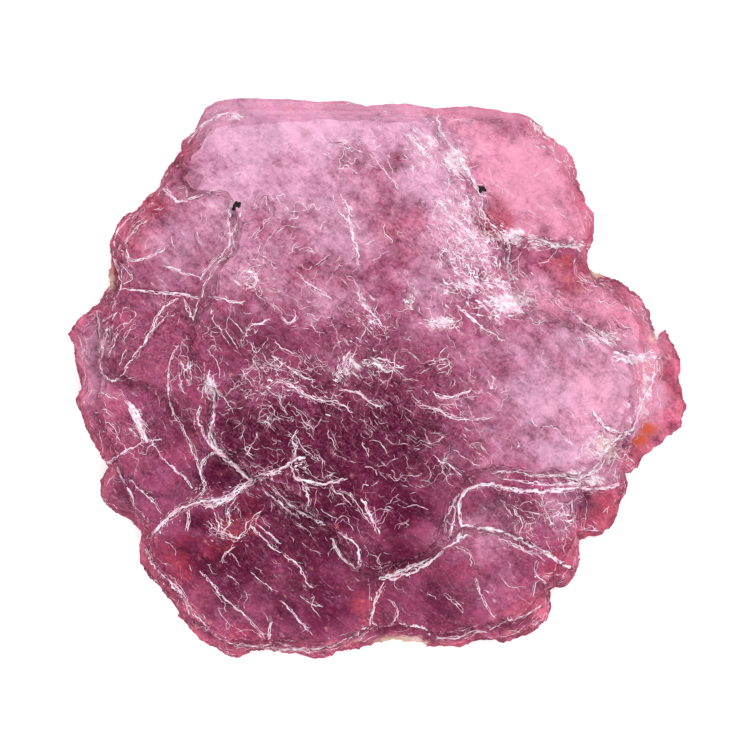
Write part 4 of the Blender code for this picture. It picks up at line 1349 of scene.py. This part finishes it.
# Many fine threads on the faces, drawn as the splines of one curve.
class Threads:
    def __init__(self, name, ground):
        self.name = name
        self.ground = ground
        self.curve = bpy.data.curves.new(name, "CURVE")
        self.curve.dimensions = "3D"
        self.curve.fill_mode = "FULL"
        self.curve.bevel_mode = "ROUND"
        self.curve.bevel_depth = 1.0
        self.curve.bevel_resolution = 0
        self.curve.use_fill_caps = True

    # Threads through these places, a new one after each step down and each gap.
    def add(self, places, radius, look, steady=False):
        run = []
        for spot in [faceUnder(self.ground, p.x, p.y) for p in places] + [None]:
            if spot is None or (run and abs(spot.z - run[-1].z) > threadLooks["drop"]):
                self.draw(run, radius, look, steady)
                run = []
            if spot is not None:
                run.append(spot)

    # One thread. It is thinner at both ends, less so when it is steady.
    def draw(self, spots, radius, look, steady):
        if len(spots) < 3:
            return
        spline = self.curve.splines.new("POLY")
        spline.points.add(len(spots) - 1)
        spline.material_index = look
        for i, (point, spot) in enumerate(zip(spline.points, spots)):
            share = i / (len(spots) - 1)
            swelling = noise.noise(spot * threadLooks["swell"])
            tip, middle, blunt = threadLooks["steadyTaper" if steady else "taper"]
            thick = radius * (tip + middle * math.sin(math.pi * share) ** blunt)
            if steady:
                mean, swing, least = threadLooks["steadySwells"]
                thick *= threadLooks["bold"] * max(least, mean + swing * swelling)
            else:
                mean, swing = threadLooks["swells"]
                thick *= mean + swing * max(0.0, swelling)
            point.co = (spot.x, spot.y, spot.z + thick * (1 - 2 * threadLooks["sink"]) * 0.5, 1.0)
            point.radius = max(threadLooks["least"], thick)

    # The threads as one mesh object.
    def mesh(self):
        drawn = bpy.data.objects.new(self.name + "Curve", self.curve)
        bpy.context.scene.collection.objects.link(drawn)
        bpy.context.view_layer.update()
        evaluated = drawn.evaluated_get(bpy.context.evaluated_depsgraph_get())
        made = bpy.data.objects.new(self.name, bpy.data.meshes.new_from_object(evaluated))
        bpy.context.scene.collection.objects.link(made)
        bpy.data.objects.remove(drawn)
        return made


# A wandering copy of a stretch of route, with small sudden steps as a torn edge has.
def torn(route, ways, side, wander, chance):
    seed = ownSeed(chance)
    slowWaves, slowShare = tornLooks["slow"]
    quickWaves, quickShare = tornLooks["quick"]
    stepWaves, stepShare = tornLooks["step"]
    places = []
    for point, way in zip(route, ways):
        slow = noise.noise(Vector((point.x * slowWaves, point.y * slowWaves, seed)))
        quick = noise.noise(Vector((point.x * quickWaves, point.y * quickWaves, seed)))
        step = noise.cell(Vector((point.x * stepWaves, point.y * stepWaves, seed))) - 0.5
        turns = wander * (slowShare * slow + quickShare * quick)
        places.append(point + way * (side + turns + stepShare * step))
    return places


# Short breaks that leave a thread sideways.
def addSpurs(threads, places, chance, look, long):
    length = len(places) * threadLooks["step"]
    for each in range(int(length / spurs["every"])):
        i = chance.randrange(1, len(places) - 1)
        along = (places[i + 1] - places[i - 1]).normalized()
        side = chance.choice((-1, 1))
        turn = math.atan2(along.y, along.x) + side * math.radians(chance.uniform(*spurs["turn"]))
        spot = places[i].copy()
        line = []
        for step in range(chance.randint(spurs["points"], spurs["points"] + int(long / threadLooks["step"]))):
            line.append(spot.copy())
            spot += towards(turn) * threadLooks["step"] * spurs["spacing"]
            turn += chance.gauss(0, spurs["wander"])
        threads.add(line, chance.uniform(*threadLooks["side"]), look)


# The bold line of a crack, and a second one along half of it.
def drawBold(threads, route, ways, reach, bold, look, chance):
    threads.add(torn(route, ways, 0.0, reach * crackLooks["boldWander"], chance), bold, look, steady=True)
    middle = len(route) // 2
    aside = crackLooks["twinAside"]
    side = chance.choice((-aside, aside)) * bold
    over = crackLooks["twinOver"]
    first, last = (0, middle + over) if chance.random() < 0.5 else (middle - over, len(route))
    twin = torn(route[first:last], ways[first:last], side, reach * crackLooks["twinWander"], chance)
    threads.add(twin, bold * crackLooks["twinRadius"], look, steady=True)


# One of a crack's threads, and its spurs.
def drawStrand(threads, route, ways, reach, look, bright, chance):
    share = chance.uniform(*crackLooks["long" if bright else "short"])
    start = int(chance.uniform(0.0, 1.0 - share) * len(route))
    stop = min(len(route), start + max(crackLooks["shortest"], int(share * len(route))))
    side = chance.gauss(0.0, crackLooks["spread" if bright else "sideSpread"]) * reach
    places = torn(route[start:stop], ways[start:stop], side, reach, chance)
    pale = look + (1 if look < 2 and not bright and chance.random() < crackLooks["paler"] else 0)
    threads.add(places, chance.uniform(*threadLooks["core" if bright else "side"]), pale)
    addSpurs(threads, places, chance, darker(pale), crackLooks["spur" if bright else "sideSpur"])


# The next darker frost.
def darker(look, steps=1):
    return min(threadLooks["shades"], look + steps)


# Each crack is a bundle of threads that start, wander and stop along its route: bold ones along the strongest
# cracks, thin ones beside them, short spurs and a dark line of painted shadow beside it.
def drawCracks(ground):
    threads = Threads("crack_threads", ground)
    crackShadows = Threads("painted_crack_shadows", ground)
    chance = random.Random(11)
    for pixels, wander, count, look, bold in cracks.values():
        route, ways = routeOf(pixels)
        reach = wander * photo["pixel"]
        if bold:
            drawBold(threads, route, ways, reach, bold, look, chance)
        for strand in range(max(1, round(count * threadLooks["share"]))):
            drawStrand(threads, route, ways, reach, look, strand < 1, chance)
        # A dark line of painted shadow beside the thinner cracks, standing for a crevice's shade.
        if bold < crackLooks["shadowBelow"] and chance.random() < crackLooks["crackShadows"]:
            side = chance.choice((-1, 1)) * (bold + crackLooks["shadowAside"])
            crackShadow = torn(route, ways, side, reach * crackLooks["shadowWander"], chance)
            crackShadows.add(crackShadow, chance.uniform(*crackLooks["shadowRadius"]), 0)
    for look, pixels in fineLines:
        route, ways = routeOf(pixels)
        line = torn(route, ways, 0.0, fineLooks["wander"], chance)
        threads.add(line, chance.uniform(*fineLooks["radius"]), look, steady=True)
        # A dark line of painted shadow beside each fine line.
        side = chance.choice((-1, 1)) * fineLooks["shadowAside"]
        crackShadow = torn(route, ways, side, fineLooks["shadowWander"], chance)
        crackShadows.add(crackShadow, chance.uniform(*fineLooks["shadowRadius"]), 0)
        if chance.random() < fineLooks["twins"]:
            side = chance.choice((-1, 1)) * fineLooks["twinAside"]
            twin = torn(route, ways, side, fineLooks["twinWander"], chance)
            threads.add(twin, fineLooks["twinRadius"], darker(look))
    return threads.mesh(), crackShadows.mesh()


chipLooks = {
    "sides": (4, 5, 6, 7), "low": 0.5, "high": 0.42, "thick": 0.03, "above": 0.012,
    "nod": 0.5,  # how much of its tilt a chip has along its length
    "ragged": (0.16, 0.25),  # how far its corners are moved along it and across it
}


# One thin chip on the face, drawn into a mesh.
def addFlake(bm, ground, spot, long, thin, heading, tilt, look, chance):
    under = faceUnder(ground, spot.x, spot.y)
    if under is None:
        return
    turn = Matrix.Rotation(math.radians(heading), 4, "Z")
    tip = Matrix.Rotation(math.radians(chance.gauss(0, tilt)), 4, "X")
    nod = Matrix.Rotation(math.radians(chance.gauss(0, tilt * chipLooks["nod"])), 4, "Y")
    shape = Matrix.Diagonal((long, thin, chipLooks["thick"], 1.0))
    where = Matrix.Translation((under.x, under.y, under.z + chipLooks["above"]))
    flake = bmesh.ops.create_cone(
        bm, cap_ends=True, segments=chance.choice(chipLooks["sides"]), radius1=chipLooks["low"],
        radius2=chipLooks["high"], depth=1.0, matrix=where @ turn @ tip @ nod @ shape,
    )["verts"]
    along = turn @ Vector((1.0, 0.0, 0.0))
    across = turn @ Vector((0.0, 1.0, 0.0))
    farAlong, farAcross = chipLooks["ragged"]
    for vertex in flake:
        vertex.co += (along * chance.uniform(-farAlong, farAlong) * long
                      + across * chance.uniform(-farAcross, farAcross) * thin)
    for side in {f for v in flake for f in v.link_faces}:
        side.material_index = look


crumbLooks = {
    "each": 3,  # chips for each thread and centimetre of a crack
    "spread": 0.75, "turn": 35, "long": (0.08, 0.28), "slim": (0.2, 0.5), "darker": (0, 1, 1, 2), "tilt": 16,
}


# Crumbs of torn mica along the cracks.
def drawCrumbs(ground):
    chance = random.Random(41)
    made = []
    for pixels, wander, count, look, bold in cracks.values():
        bm = bmesh.new()
        route, ways = routeOf(pixels)
        centimetres = len(route) * threadLooks["step"] / 10.0
        for each in range(int(crumbLooks["each"] * count * centimetres)):
            i = chance.randrange(1, len(route) - 1)
            spot = route[i] + ways[i] * chance.gauss(0, crumbLooks["spread"]) * wander * photo["pixel"]
            along = route[i + 1] - route[i - 1]
            heading = math.degrees(math.atan2(along.y, along.x)) + chance.gauss(0, crumbLooks["turn"])
            long = chance.uniform(*crumbLooks["long"])
            pale = darker(look, chance.choice(crumbLooks["darker"]))
            thin = long * chance.uniform(*crumbLooks["slim"])
            addFlake(bm, ground, spot, long, thin, heading, crumbLooks["tilt"], pale, chance)
        made.append(asObject(bm, "crumbs"))
    return joinPieces(made, "crumbs")


# Where hairlines lie thick: photo pixel, reach across, reach up, hairlines, general direction in degrees.
hairlineAreas = [
    (350, 400, 80, 45, 90, -28), (300, 440, 60, 60, 70, -45), (420, 420, 60, 50, 60, -25),
    (250, 400, 50, 60, 60, 45), (330, 520, 70, 40, 60, -40), (455, 250, 45, 60, 90, -48),
    (300, 330, 90, 40, 60, -25), (250, 230, 70, 40, 30, 50), (160, 330, 60, 50, 40, 55),
    (150, 440, 50, 45, 40, -50), (240, 580, 80, 40, 26, -42), (480, 330, 70, 40, 36, -30),
    (540, 515, 40, 20, 60, -55), (255, 390, 35, 45, 70, 65), (285, 365, 35, 20, 40, -25),
    (540, 515, 30, 20, 30, 35), (480, 590, 60, 30, 12, -40), (420, 150, 50, 40, 50, -50),
    (240, 150, 50, 30, 10, 30), (600, 300, 45, 30, 24, -20), (590, 430, 40, 40, 20, -40),
    (450, 470, 40, 25, 26, -35), (400, 500, 40, 30, 26, 20), (300, 260, 60, 30, 30, 35),
    (540, 200, 50, 50, 8, -40), (280, 290, 50, 30, 36, -35), (270, 490, 40, 40, 46, -40),
]


# Where white threads of frost lie thick, in the same order.
frostAreas = [
    (462, 215, 24, 38, 110, -58), (470, 262, 30, 26, 110, -48), (492, 284, 30, 14, 80, -38),
    (508, 302, 16, 7, 40, 15), (508, 302, 16, 7, 36, -60), (440, 323, 14, 4, 26, -8),
    (455, 164, 8, 13, 30, -62), (425, 150, 24, 26, 40, -60), (345, 366, 10, 12, 26, 65),
    (378, 365, 14, 7, 24, -10), (138, 420, 4, 15, 12, -62), (209, 387, 6, 9, 20, 80),
    (187, 370, 8, 14, 18, 75), (640, 357, 18, 4, 18, 0), (600, 335, 18, 7, 20, -32),
    (602, 446, 22, 11, 30, 30), (480, 236, 26, 8, 30, -30), (340, 150, 34, 14, 16, 0),
    (300, 206, 26, 14, 14, 10), (372, 320, 14, 14, 20, -45), (545, 130, 14, 8, 20, -40),
    (556, 512, 20, 18, 16, -60), (566, 158, 8, 16, 16, -60), (108, 335, 14, 30, 22, 75),
    (250, 280, 9, 9, 12, 20), (437, 365, 10, 8, 12, 40), (470, 395, 40, 12, 14, -15),
]


# Lines where the rim's thin sheets end, side by side with its outline.
rimLines = {
    "count": 380, "inset": (0.0, 1.8), "long": (0.4, 2.8), "radius": (0.014, 0.050),
    "wander": 0.35, "drift": 0.03,
    "farRow": 180, "farShare": 0.3,  # fewer of them lie beyond this row of the photo
    "looks": (0.20, 0.36, 0.34, 0.10), "spurred": 0.4, "spur": 0.3, "longEnough": 8,
}


def drawRimLines(ground):
    threads = Threads("rim_lines", ground)
    chance = random.Random(61)
    loop = divided([place(*p) for p in outlines["rim"]], threadLooks["step"])
    ways = inwards(loop)
    farRow = place(0, rimLines["farRow"]).y
    for each in range(rimLines["count"]):
        start = chance.randrange(len(loop))
        steps = int(chance.uniform(*rimLines["long"]) / threadLooks["step"])
        inset = chance.uniform(*rimLines["inset"])
        drift = chance.gauss(0, rimLines["drift"])
        look = chance.choices(range(len(frosts)), rimLines["looks"])[0]
        radius = chance.uniform(*rimLines["radius"])
        if loop[start].y > farRow and chance.random() > rimLines["farShare"]:
            continue
        spots = [(start + i) % len(loop) for i in range(steps)]
        route = [loop[k] + ways[k] * drift * i for i, k in enumerate(spots)]
        line = torn(route, [ways[k] for k in spots], inset, rimLines["wander"], chance)
        threads.add(line, radius, look)
        if len(line) > rimLines["longEnough"] and chance.random() < rimLines["spurred"]:
            addSpurs(threads, line, chance, darker(look), rimLines["spur"])
    return threads.mesh()


hairlineLooks = {
    "share": 0.66,  # how many of the areas' hairlines are drawn
    "spread": 0.6, "turn": 26, "bend": 0.06,
    "points": 4, "more": 1 / 6.5, "most": 32,  # the fewest points, the rate of more points, and the most
    "jitter": 0.25, "kinks": 0.2, "kink": (0.5, 1.2), "back": 0.12,
    "looks": (0.13, 0.22, 0.35, 0.30), "radius": (0.014, 0.032), "spur": 0.4,
    "twins": (0, 0, 0, 1), "aside": 0.25, "twinPoints": (4, 12), "twinRadius": (0.014, 0.026),
}
frostThreadLooks = {
    "share": 0.72, "spread": 0.5, "turn": 26, "points": 6, "more": 1 / 7.0, "spacing": 0.8,
    "jitter": 0.34, "kinks": 0.15, "kink": (0.6, 1.3), "looks": (0.65, 0.35),
    "thick": 0.18, "thickRadius": (0.055, 0.085), "radius": (0.020, 0.046),
}


# Fine torn lines scattered over the faces, in small families that run side by side.
def drawHairlines(ground):
    threads = Threads("hairlines", ground)
    chance = random.Random(5)
    looks = hairlineLooks
    for px, py, wide, high, count, heading in hairlineAreas:
        for each in range(int(count * looks["share"])):
            spot = somewhere(px, py, wide, high, looks["spread"], chance)
            turn = math.radians(heading + chance.gauss(0, looks["turn"]))
            bend = chance.gauss(0, looks["bend"])
            line = []
            for i in range(min(looks["most"], looks["points"] + int(chance.expovariate(looks["more"])))):
                line.append(spot.copy())
                spot += towards(turn) * threadLooks["step"]
                turn += bend + chance.gauss(0, looks["jitter"])
                if chance.random() < looks["kinks"]:
                    turn += chance.choice((-1, 1)) * chance.uniform(*looks["kink"])
                turn += looks["back"] * (math.radians(heading) - turn)
            look = chance.choices(range(len(frosts)), looks["looks"])[0]
            threads.add(line, chance.uniform(*looks["radius"]), look)
            addSpurs(threads, line, chance, darker(look), looks["spur"])
            for twin in range(chance.choice(looks["twins"])):
                aside = Vector((chance.gauss(0, looks["aside"]), chance.gauss(0, looks["aside"])))
                fewest, most = looks["twinPoints"]
                cut = chance.randrange(0, max(1, len(line) - fewest))
                part = [p + aside for p in line[cut:cut + chance.randint(fewest, most)]]
                threads.add(part, chance.uniform(*looks["twinRadius"]), darker(look))
    drawFrostThreads(threads, chance)
    return threads.mesh()


# White threads of frost, drawn with the hairlines.
def drawFrostThreads(threads, chance):
    looks = frostThreadLooks
    for px, py, wide, high, count, heading in frostAreas:
        for each in range(int(count * looks["share"])):
            spot = somewhere(px, py, wide, high, looks["spread"], chance)
            turn = math.radians(heading + chance.gauss(0, looks["turn"]))
            line = []
            for i in range(looks["points"] + int(chance.expovariate(looks["more"]))):
                line.append(spot.copy())
                spot += towards(turn) * threadLooks["step"] * looks["spacing"]
                turn += chance.gauss(0, looks["jitter"])
                if chance.random() < looks["kinks"]:
                    turn += chance.choice((-1, 1)) * chance.uniform(*looks["kink"])
            look = chance.choices((0, 1), looks["looks"])[0]
            thick = chance.random() < looks["thick"]
            threads.add(line, chance.uniform(*looks["thickRadius" if thick else "radius"]), look)


# Clusters of small lifted flakes: photo pixel, reach across, reach up, flakes, direction in degrees,
# length in millimetres.
flakeClusters = [
    (508, 303, 20, 7, 100, -20, 0.9), (466, 286, 26, 8, 50, -30, 0.9), (440, 323, 15, 5, 90, -10, 0.6),
    (456, 163, 7, 11, 90, -60, 0.7), (509, 236, 7, 6, 60, 0, 0.6), (480, 236, 26, 10, 90, -40, 0.5),
    (455, 212, 22, 32, 70, -55, 0.6), (408, 300, 5, 11, 30, 80, 0.5), (345, 366, 10, 13, 50, 70, 0.5),
    (378, 364, 14, 7, 40, 10, 0.5), (138, 420, 2, 13, 14, -62, 0.6), (209, 387, 6, 10, 50, 80, 0.6),
    (602, 447, 24, 12, 70, 20, 0.5), (575, 484, 12, 4, 24, 0, 0.5), (425, 148, 22, 24, 30, -60, 0.5),
    (340, 150, 32, 14, 26, 0, 0.4), (640, 357, 18, 4, 50, 0, 0.9), (601, 336, 18, 5, 40, -30, 0.8),
    (206, 492, 12, 12, 30, 30, 0.4), (228, 515, 20, 20, 20, -40, 0.4), (370, 330, 22, 22, 40, -40, 0.5),
    (300, 385, 45, 22, 50, -30, 0.6), (552, 245, 34, 4, 60, 0, 0.8), (541, 128, 14, 8, 40, -40, 0.6),
    (163, 165, 6, 16, 26, 60, 0.5), (250, 280, 9, 9, 26, 0, 0.5), (395, 440, 80, 50, 20, -40, 0.3),
    (480, 285, 40, 26, 40, -42, 1.0), (495, 315, 22, 8, 24, -35, 0.8), (640, 400, 5, 26, 40, 80, 0.6),
    (300, 465, 10, 8, 24, 20, 0.5), (518, 444, 1, 2, 5, 80, 0.3), (470, 262, 30, 18, 30, -48, 0.8),
    (498, 270, 12, 24, 20, -65, 0.8), (520, 303, 16, 5, 30, -8, 0.9),
]


flakeLooks = {
    "share": 1.8, "spread": 0.55, "turn": 24, "tilt": 7, "sharp": 15.0,
    "long": (0.25, 1.0), "slim": (0.05, 0.08, 0.12, 0.22), "widest": 0.20, "looks": (0.6, 0.3, 0.1),
}


# Small thin flakes that stand a little off the face.
def drawFlakes(ground):
    chance = random.Random(23)
    made = []
    for px, py, wide, high, count, heading, longest in flakeClusters:
        bm = bmesh.new()
        for each in range(int(count * flakeLooks["share"])):
            spot = somewhere(px, py, wide, high, flakeLooks["spread"], chance)
            long = longest * chance.uniform(*flakeLooks["long"])
            thin = min(flakeLooks["widest"], long * chance.choice(flakeLooks["slim"]))
            look = chance.choices((0, 1, 2), flakeLooks["looks"])[0]
            turn = heading + chance.gauss(0, flakeLooks["turn"])
            addFlake(bm, ground, spot, long, thin, turn, flakeLooks["tilt"], look, chance)
        made.append(asObject(bm, "lifted_flakes"))
    return joinPieces(made, "lifted_flakes")


# Dark grains in the face: photo pixel, length and width in millimetres, heading, lumps.
darkGrains = {
    "far_left_grain": (237, 207, 1.05, 0.62, 60, 8),
    "far_right_grain": (482, 190, 0.75, 0.65, -20, 5),
    "right_speck": (628, 401, 0.20, 0.16, 0, 2),
}


lumpLooks = {
    "along": 0.7, "aside": 0.2,  # shares of the grain that its lumps are spread over
    "long": 0.35, "wide": 0.28, "high": 0.10, "above": 0.005,
    "rough": (0.02, 0.02, 0.012), "waves": 6.0,
}


# One dark grain: a few small lumps sunk in the face.
def drawGrain(name, ground):
    px, py, long, wide, heading, lumps = darkGrains[name]
    chance = random.Random(name)
    centre = place(px, py)
    turn = Matrix.Rotation(math.radians(heading), 4, "Z")
    bm = bmesh.new()
    for lump in range(lumps):
        along = (lump / max(1, lumps - 1) - 0.5) * long * lumpLooks["along"]
        offset = turn @ Vector((along, chance.gauss(0, lumpLooks["aside"]) * wide, 0.0))
        under = faceUnder(ground, centre.x + offset.x, centre.y + offset.y)
        size = Matrix.Diagonal((wide * lumpLooks["long"], wide * lumpLooks["wide"], lumpLooks["high"], 1.0))
        where = Matrix.Translation((under.x, under.y, under.z + lumpLooks["above"]))
        verts = bmesh.ops.create_icosphere(bm, subdivisions=2, radius=1.0, matrix=where @ turn @ size)["verts"]
        for vertex in verts:
            vertex.co += Vector(lumpLooks["rough"]) * noise.noise(vertex.co * lumpLooks["waves"])
    return asObject(bm, name)


# Everything built so far, for finding the face under a place.
def groundOf(pieces):
    verts, faces = [], []
    for piece in pieces:
        start = len(verts)
        verts += [v.co.copy() for v in piece.data.vertices]
        faces += [[start + i for i in p.vertices] for p in piece.data.polygons]
    return BVHTree.FromPolygons(verts, faces)


# Studio. Lights: place and size in metres, and power in watts.
studio = {
    "photoWidth": 75.0,  # millimetres that the photo shows at the height of the rim
    "lens": 240.0, "sensor": 36.0,
    "aimHeight": 5.0, "nearest": 0.01, "farthest": 10.0,
    "table": 1.6, "paper": (0.96, 0.96, 0.96), "paperRoughness": 0.9, "paperSpecular": 0.1, "paperGlow": 0.35,
    "white": (1.0, 1.0, 1.0), "room": 0.45,
    "lights": {
        "keyLight": ((0.20, 0.26, 0.38), 0.34, 1.05), "leftLight": ((-0.30, 0.10, 0.36), 0.34, 0.75),
        "nearLight": ((0.02, -0.32, 0.36), 0.34, 0.70), "rightLight": ((0.32, -0.08, 0.36), 0.30, 0.55),
    },
}


# A plain white table that glows a little, as the photo's background does.
def buildTable():
    bpy.ops.mesh.primitive_plane_add(size=studio["table"], location=(0, 0, 0))
    table = bpy.context.active_object
    table.name = "table"
    paper, tree, shader = newMaterial("paper")
    feed(tree, shader.inputs["Base Color"], studio["paper"])
    feed(tree, shader.inputs["Emission Color"], studio["white"])
    shader.inputs["Roughness"].default_value = studio["paperRoughness"]
    shader.inputs["Specular IOR Level"].default_value = studio["paperSpecular"]
    shader.inputs["Emission Strength"].default_value = studio["paperGlow"]
    table.data.materials.append(paper)


# Soft light from above and from the room.
def buildLights():
    for name, (spot, size, power) in studio["lights"].items():
        light = bpy.data.lights.new(name, "AREA")
        light.shape = "SQUARE"
        light.size = size
        light.energy = power
        lamp = bpy.data.objects.new(name, light)
        lamp.location = spot
        lamp.rotation_euler = (-Vector(spot)).to_track_quat("-Z", "Y").to_euler()
        bpy.context.scene.collection.objects.link(lamp)
    world = bpy.data.worlds.new("room")
    world.use_nodes = True
    background = world.node_tree.nodes["Background"]
    background.inputs["Color"].default_value = (*studio["white"], 1.0)
    background.inputs["Strength"].default_value = studio["room"]
    bpy.context.scene.world = world


# A camera that looks straight down, as the photo's does.
def buildCamera():
    camera = bpy.data.cameras.new("camera")
    camera.lens = studio["lens"]
    camera.sensor_width = studio["sensor"]
    camera.clip_start = studio["nearest"]
    camera.clip_end = studio["farthest"]
    away = studio["photoWidth"] * millimetre * studio["lens"] / studio["sensor"]
    seat = bpy.data.objects.new("camera", camera)
    middle = toFrame @ Vector((0.0, 0.0, 0.0))
    seat.location = (middle.x, middle.y, away + studio["aimHeight"] * millimetre)
    bpy.context.scene.collection.objects.link(seat)
    bpy.context.scene.camera = seat
    bpy.context.scene.view_settings.view_transform = "Standard"


leafPieces = [buildGroup(name) for name in groups]
print("leaves stacked")
ground = groundOf(leafPieces)
scalePiece = buildScales(ground)
ground = groundOf([*leafPieces, scalePiece])
smallScalePiece = buildSmallScales(ground)
ground = groundOf([*leafPieces, scalePiece, smallScalePiece])
print("scales laid")

mica = makeMica(makeFilaments(), makeTornScales())
frostMaterials = [makeFrost(name, *looks) for name, looks in frosts.items()]
print("materials made")

crackPiece, crackShadowPiece = drawCracks(ground)
print("cracks drawn")
hairlinePiece = drawHairlines(ground)
rimLinePiece = drawRimLines(ground)
print("hairlines drawn")
flakePiece = drawFlakes(ground)
crumbPiece = drawCrumbs(ground)
print("flakes scattered")
grainPieces = [drawGrain(name, ground) for name in darkGrains]

for piece in [*leafPieces, scalePiece, smallScalePiece]:
    paintTones(piece)
    finishPiece(piece, [mica], leafLooks["sharp"])
for piece in (crackPiece, hairlinePiece, rimLinePiece):
    finishPiece(piece, frostMaterials)
for piece in (flakePiece, crumbPiece):
    finishPiece(piece, frostMaterials, flakeLooks["sharp"])
# The dark lines of painted shadow, in a dark wine frost of their own.
finishPiece(crackShadowPiece, [makeFrost("paintedCrackShadow", *crackShadowLooks)])
darkGrain = makeDarkGrain()
for piece in grainPieces:
    finishPiece(piece, [darkGrain])
print("pieces finished")

buildTable()
buildLights()
buildCamera()
print("studio built")
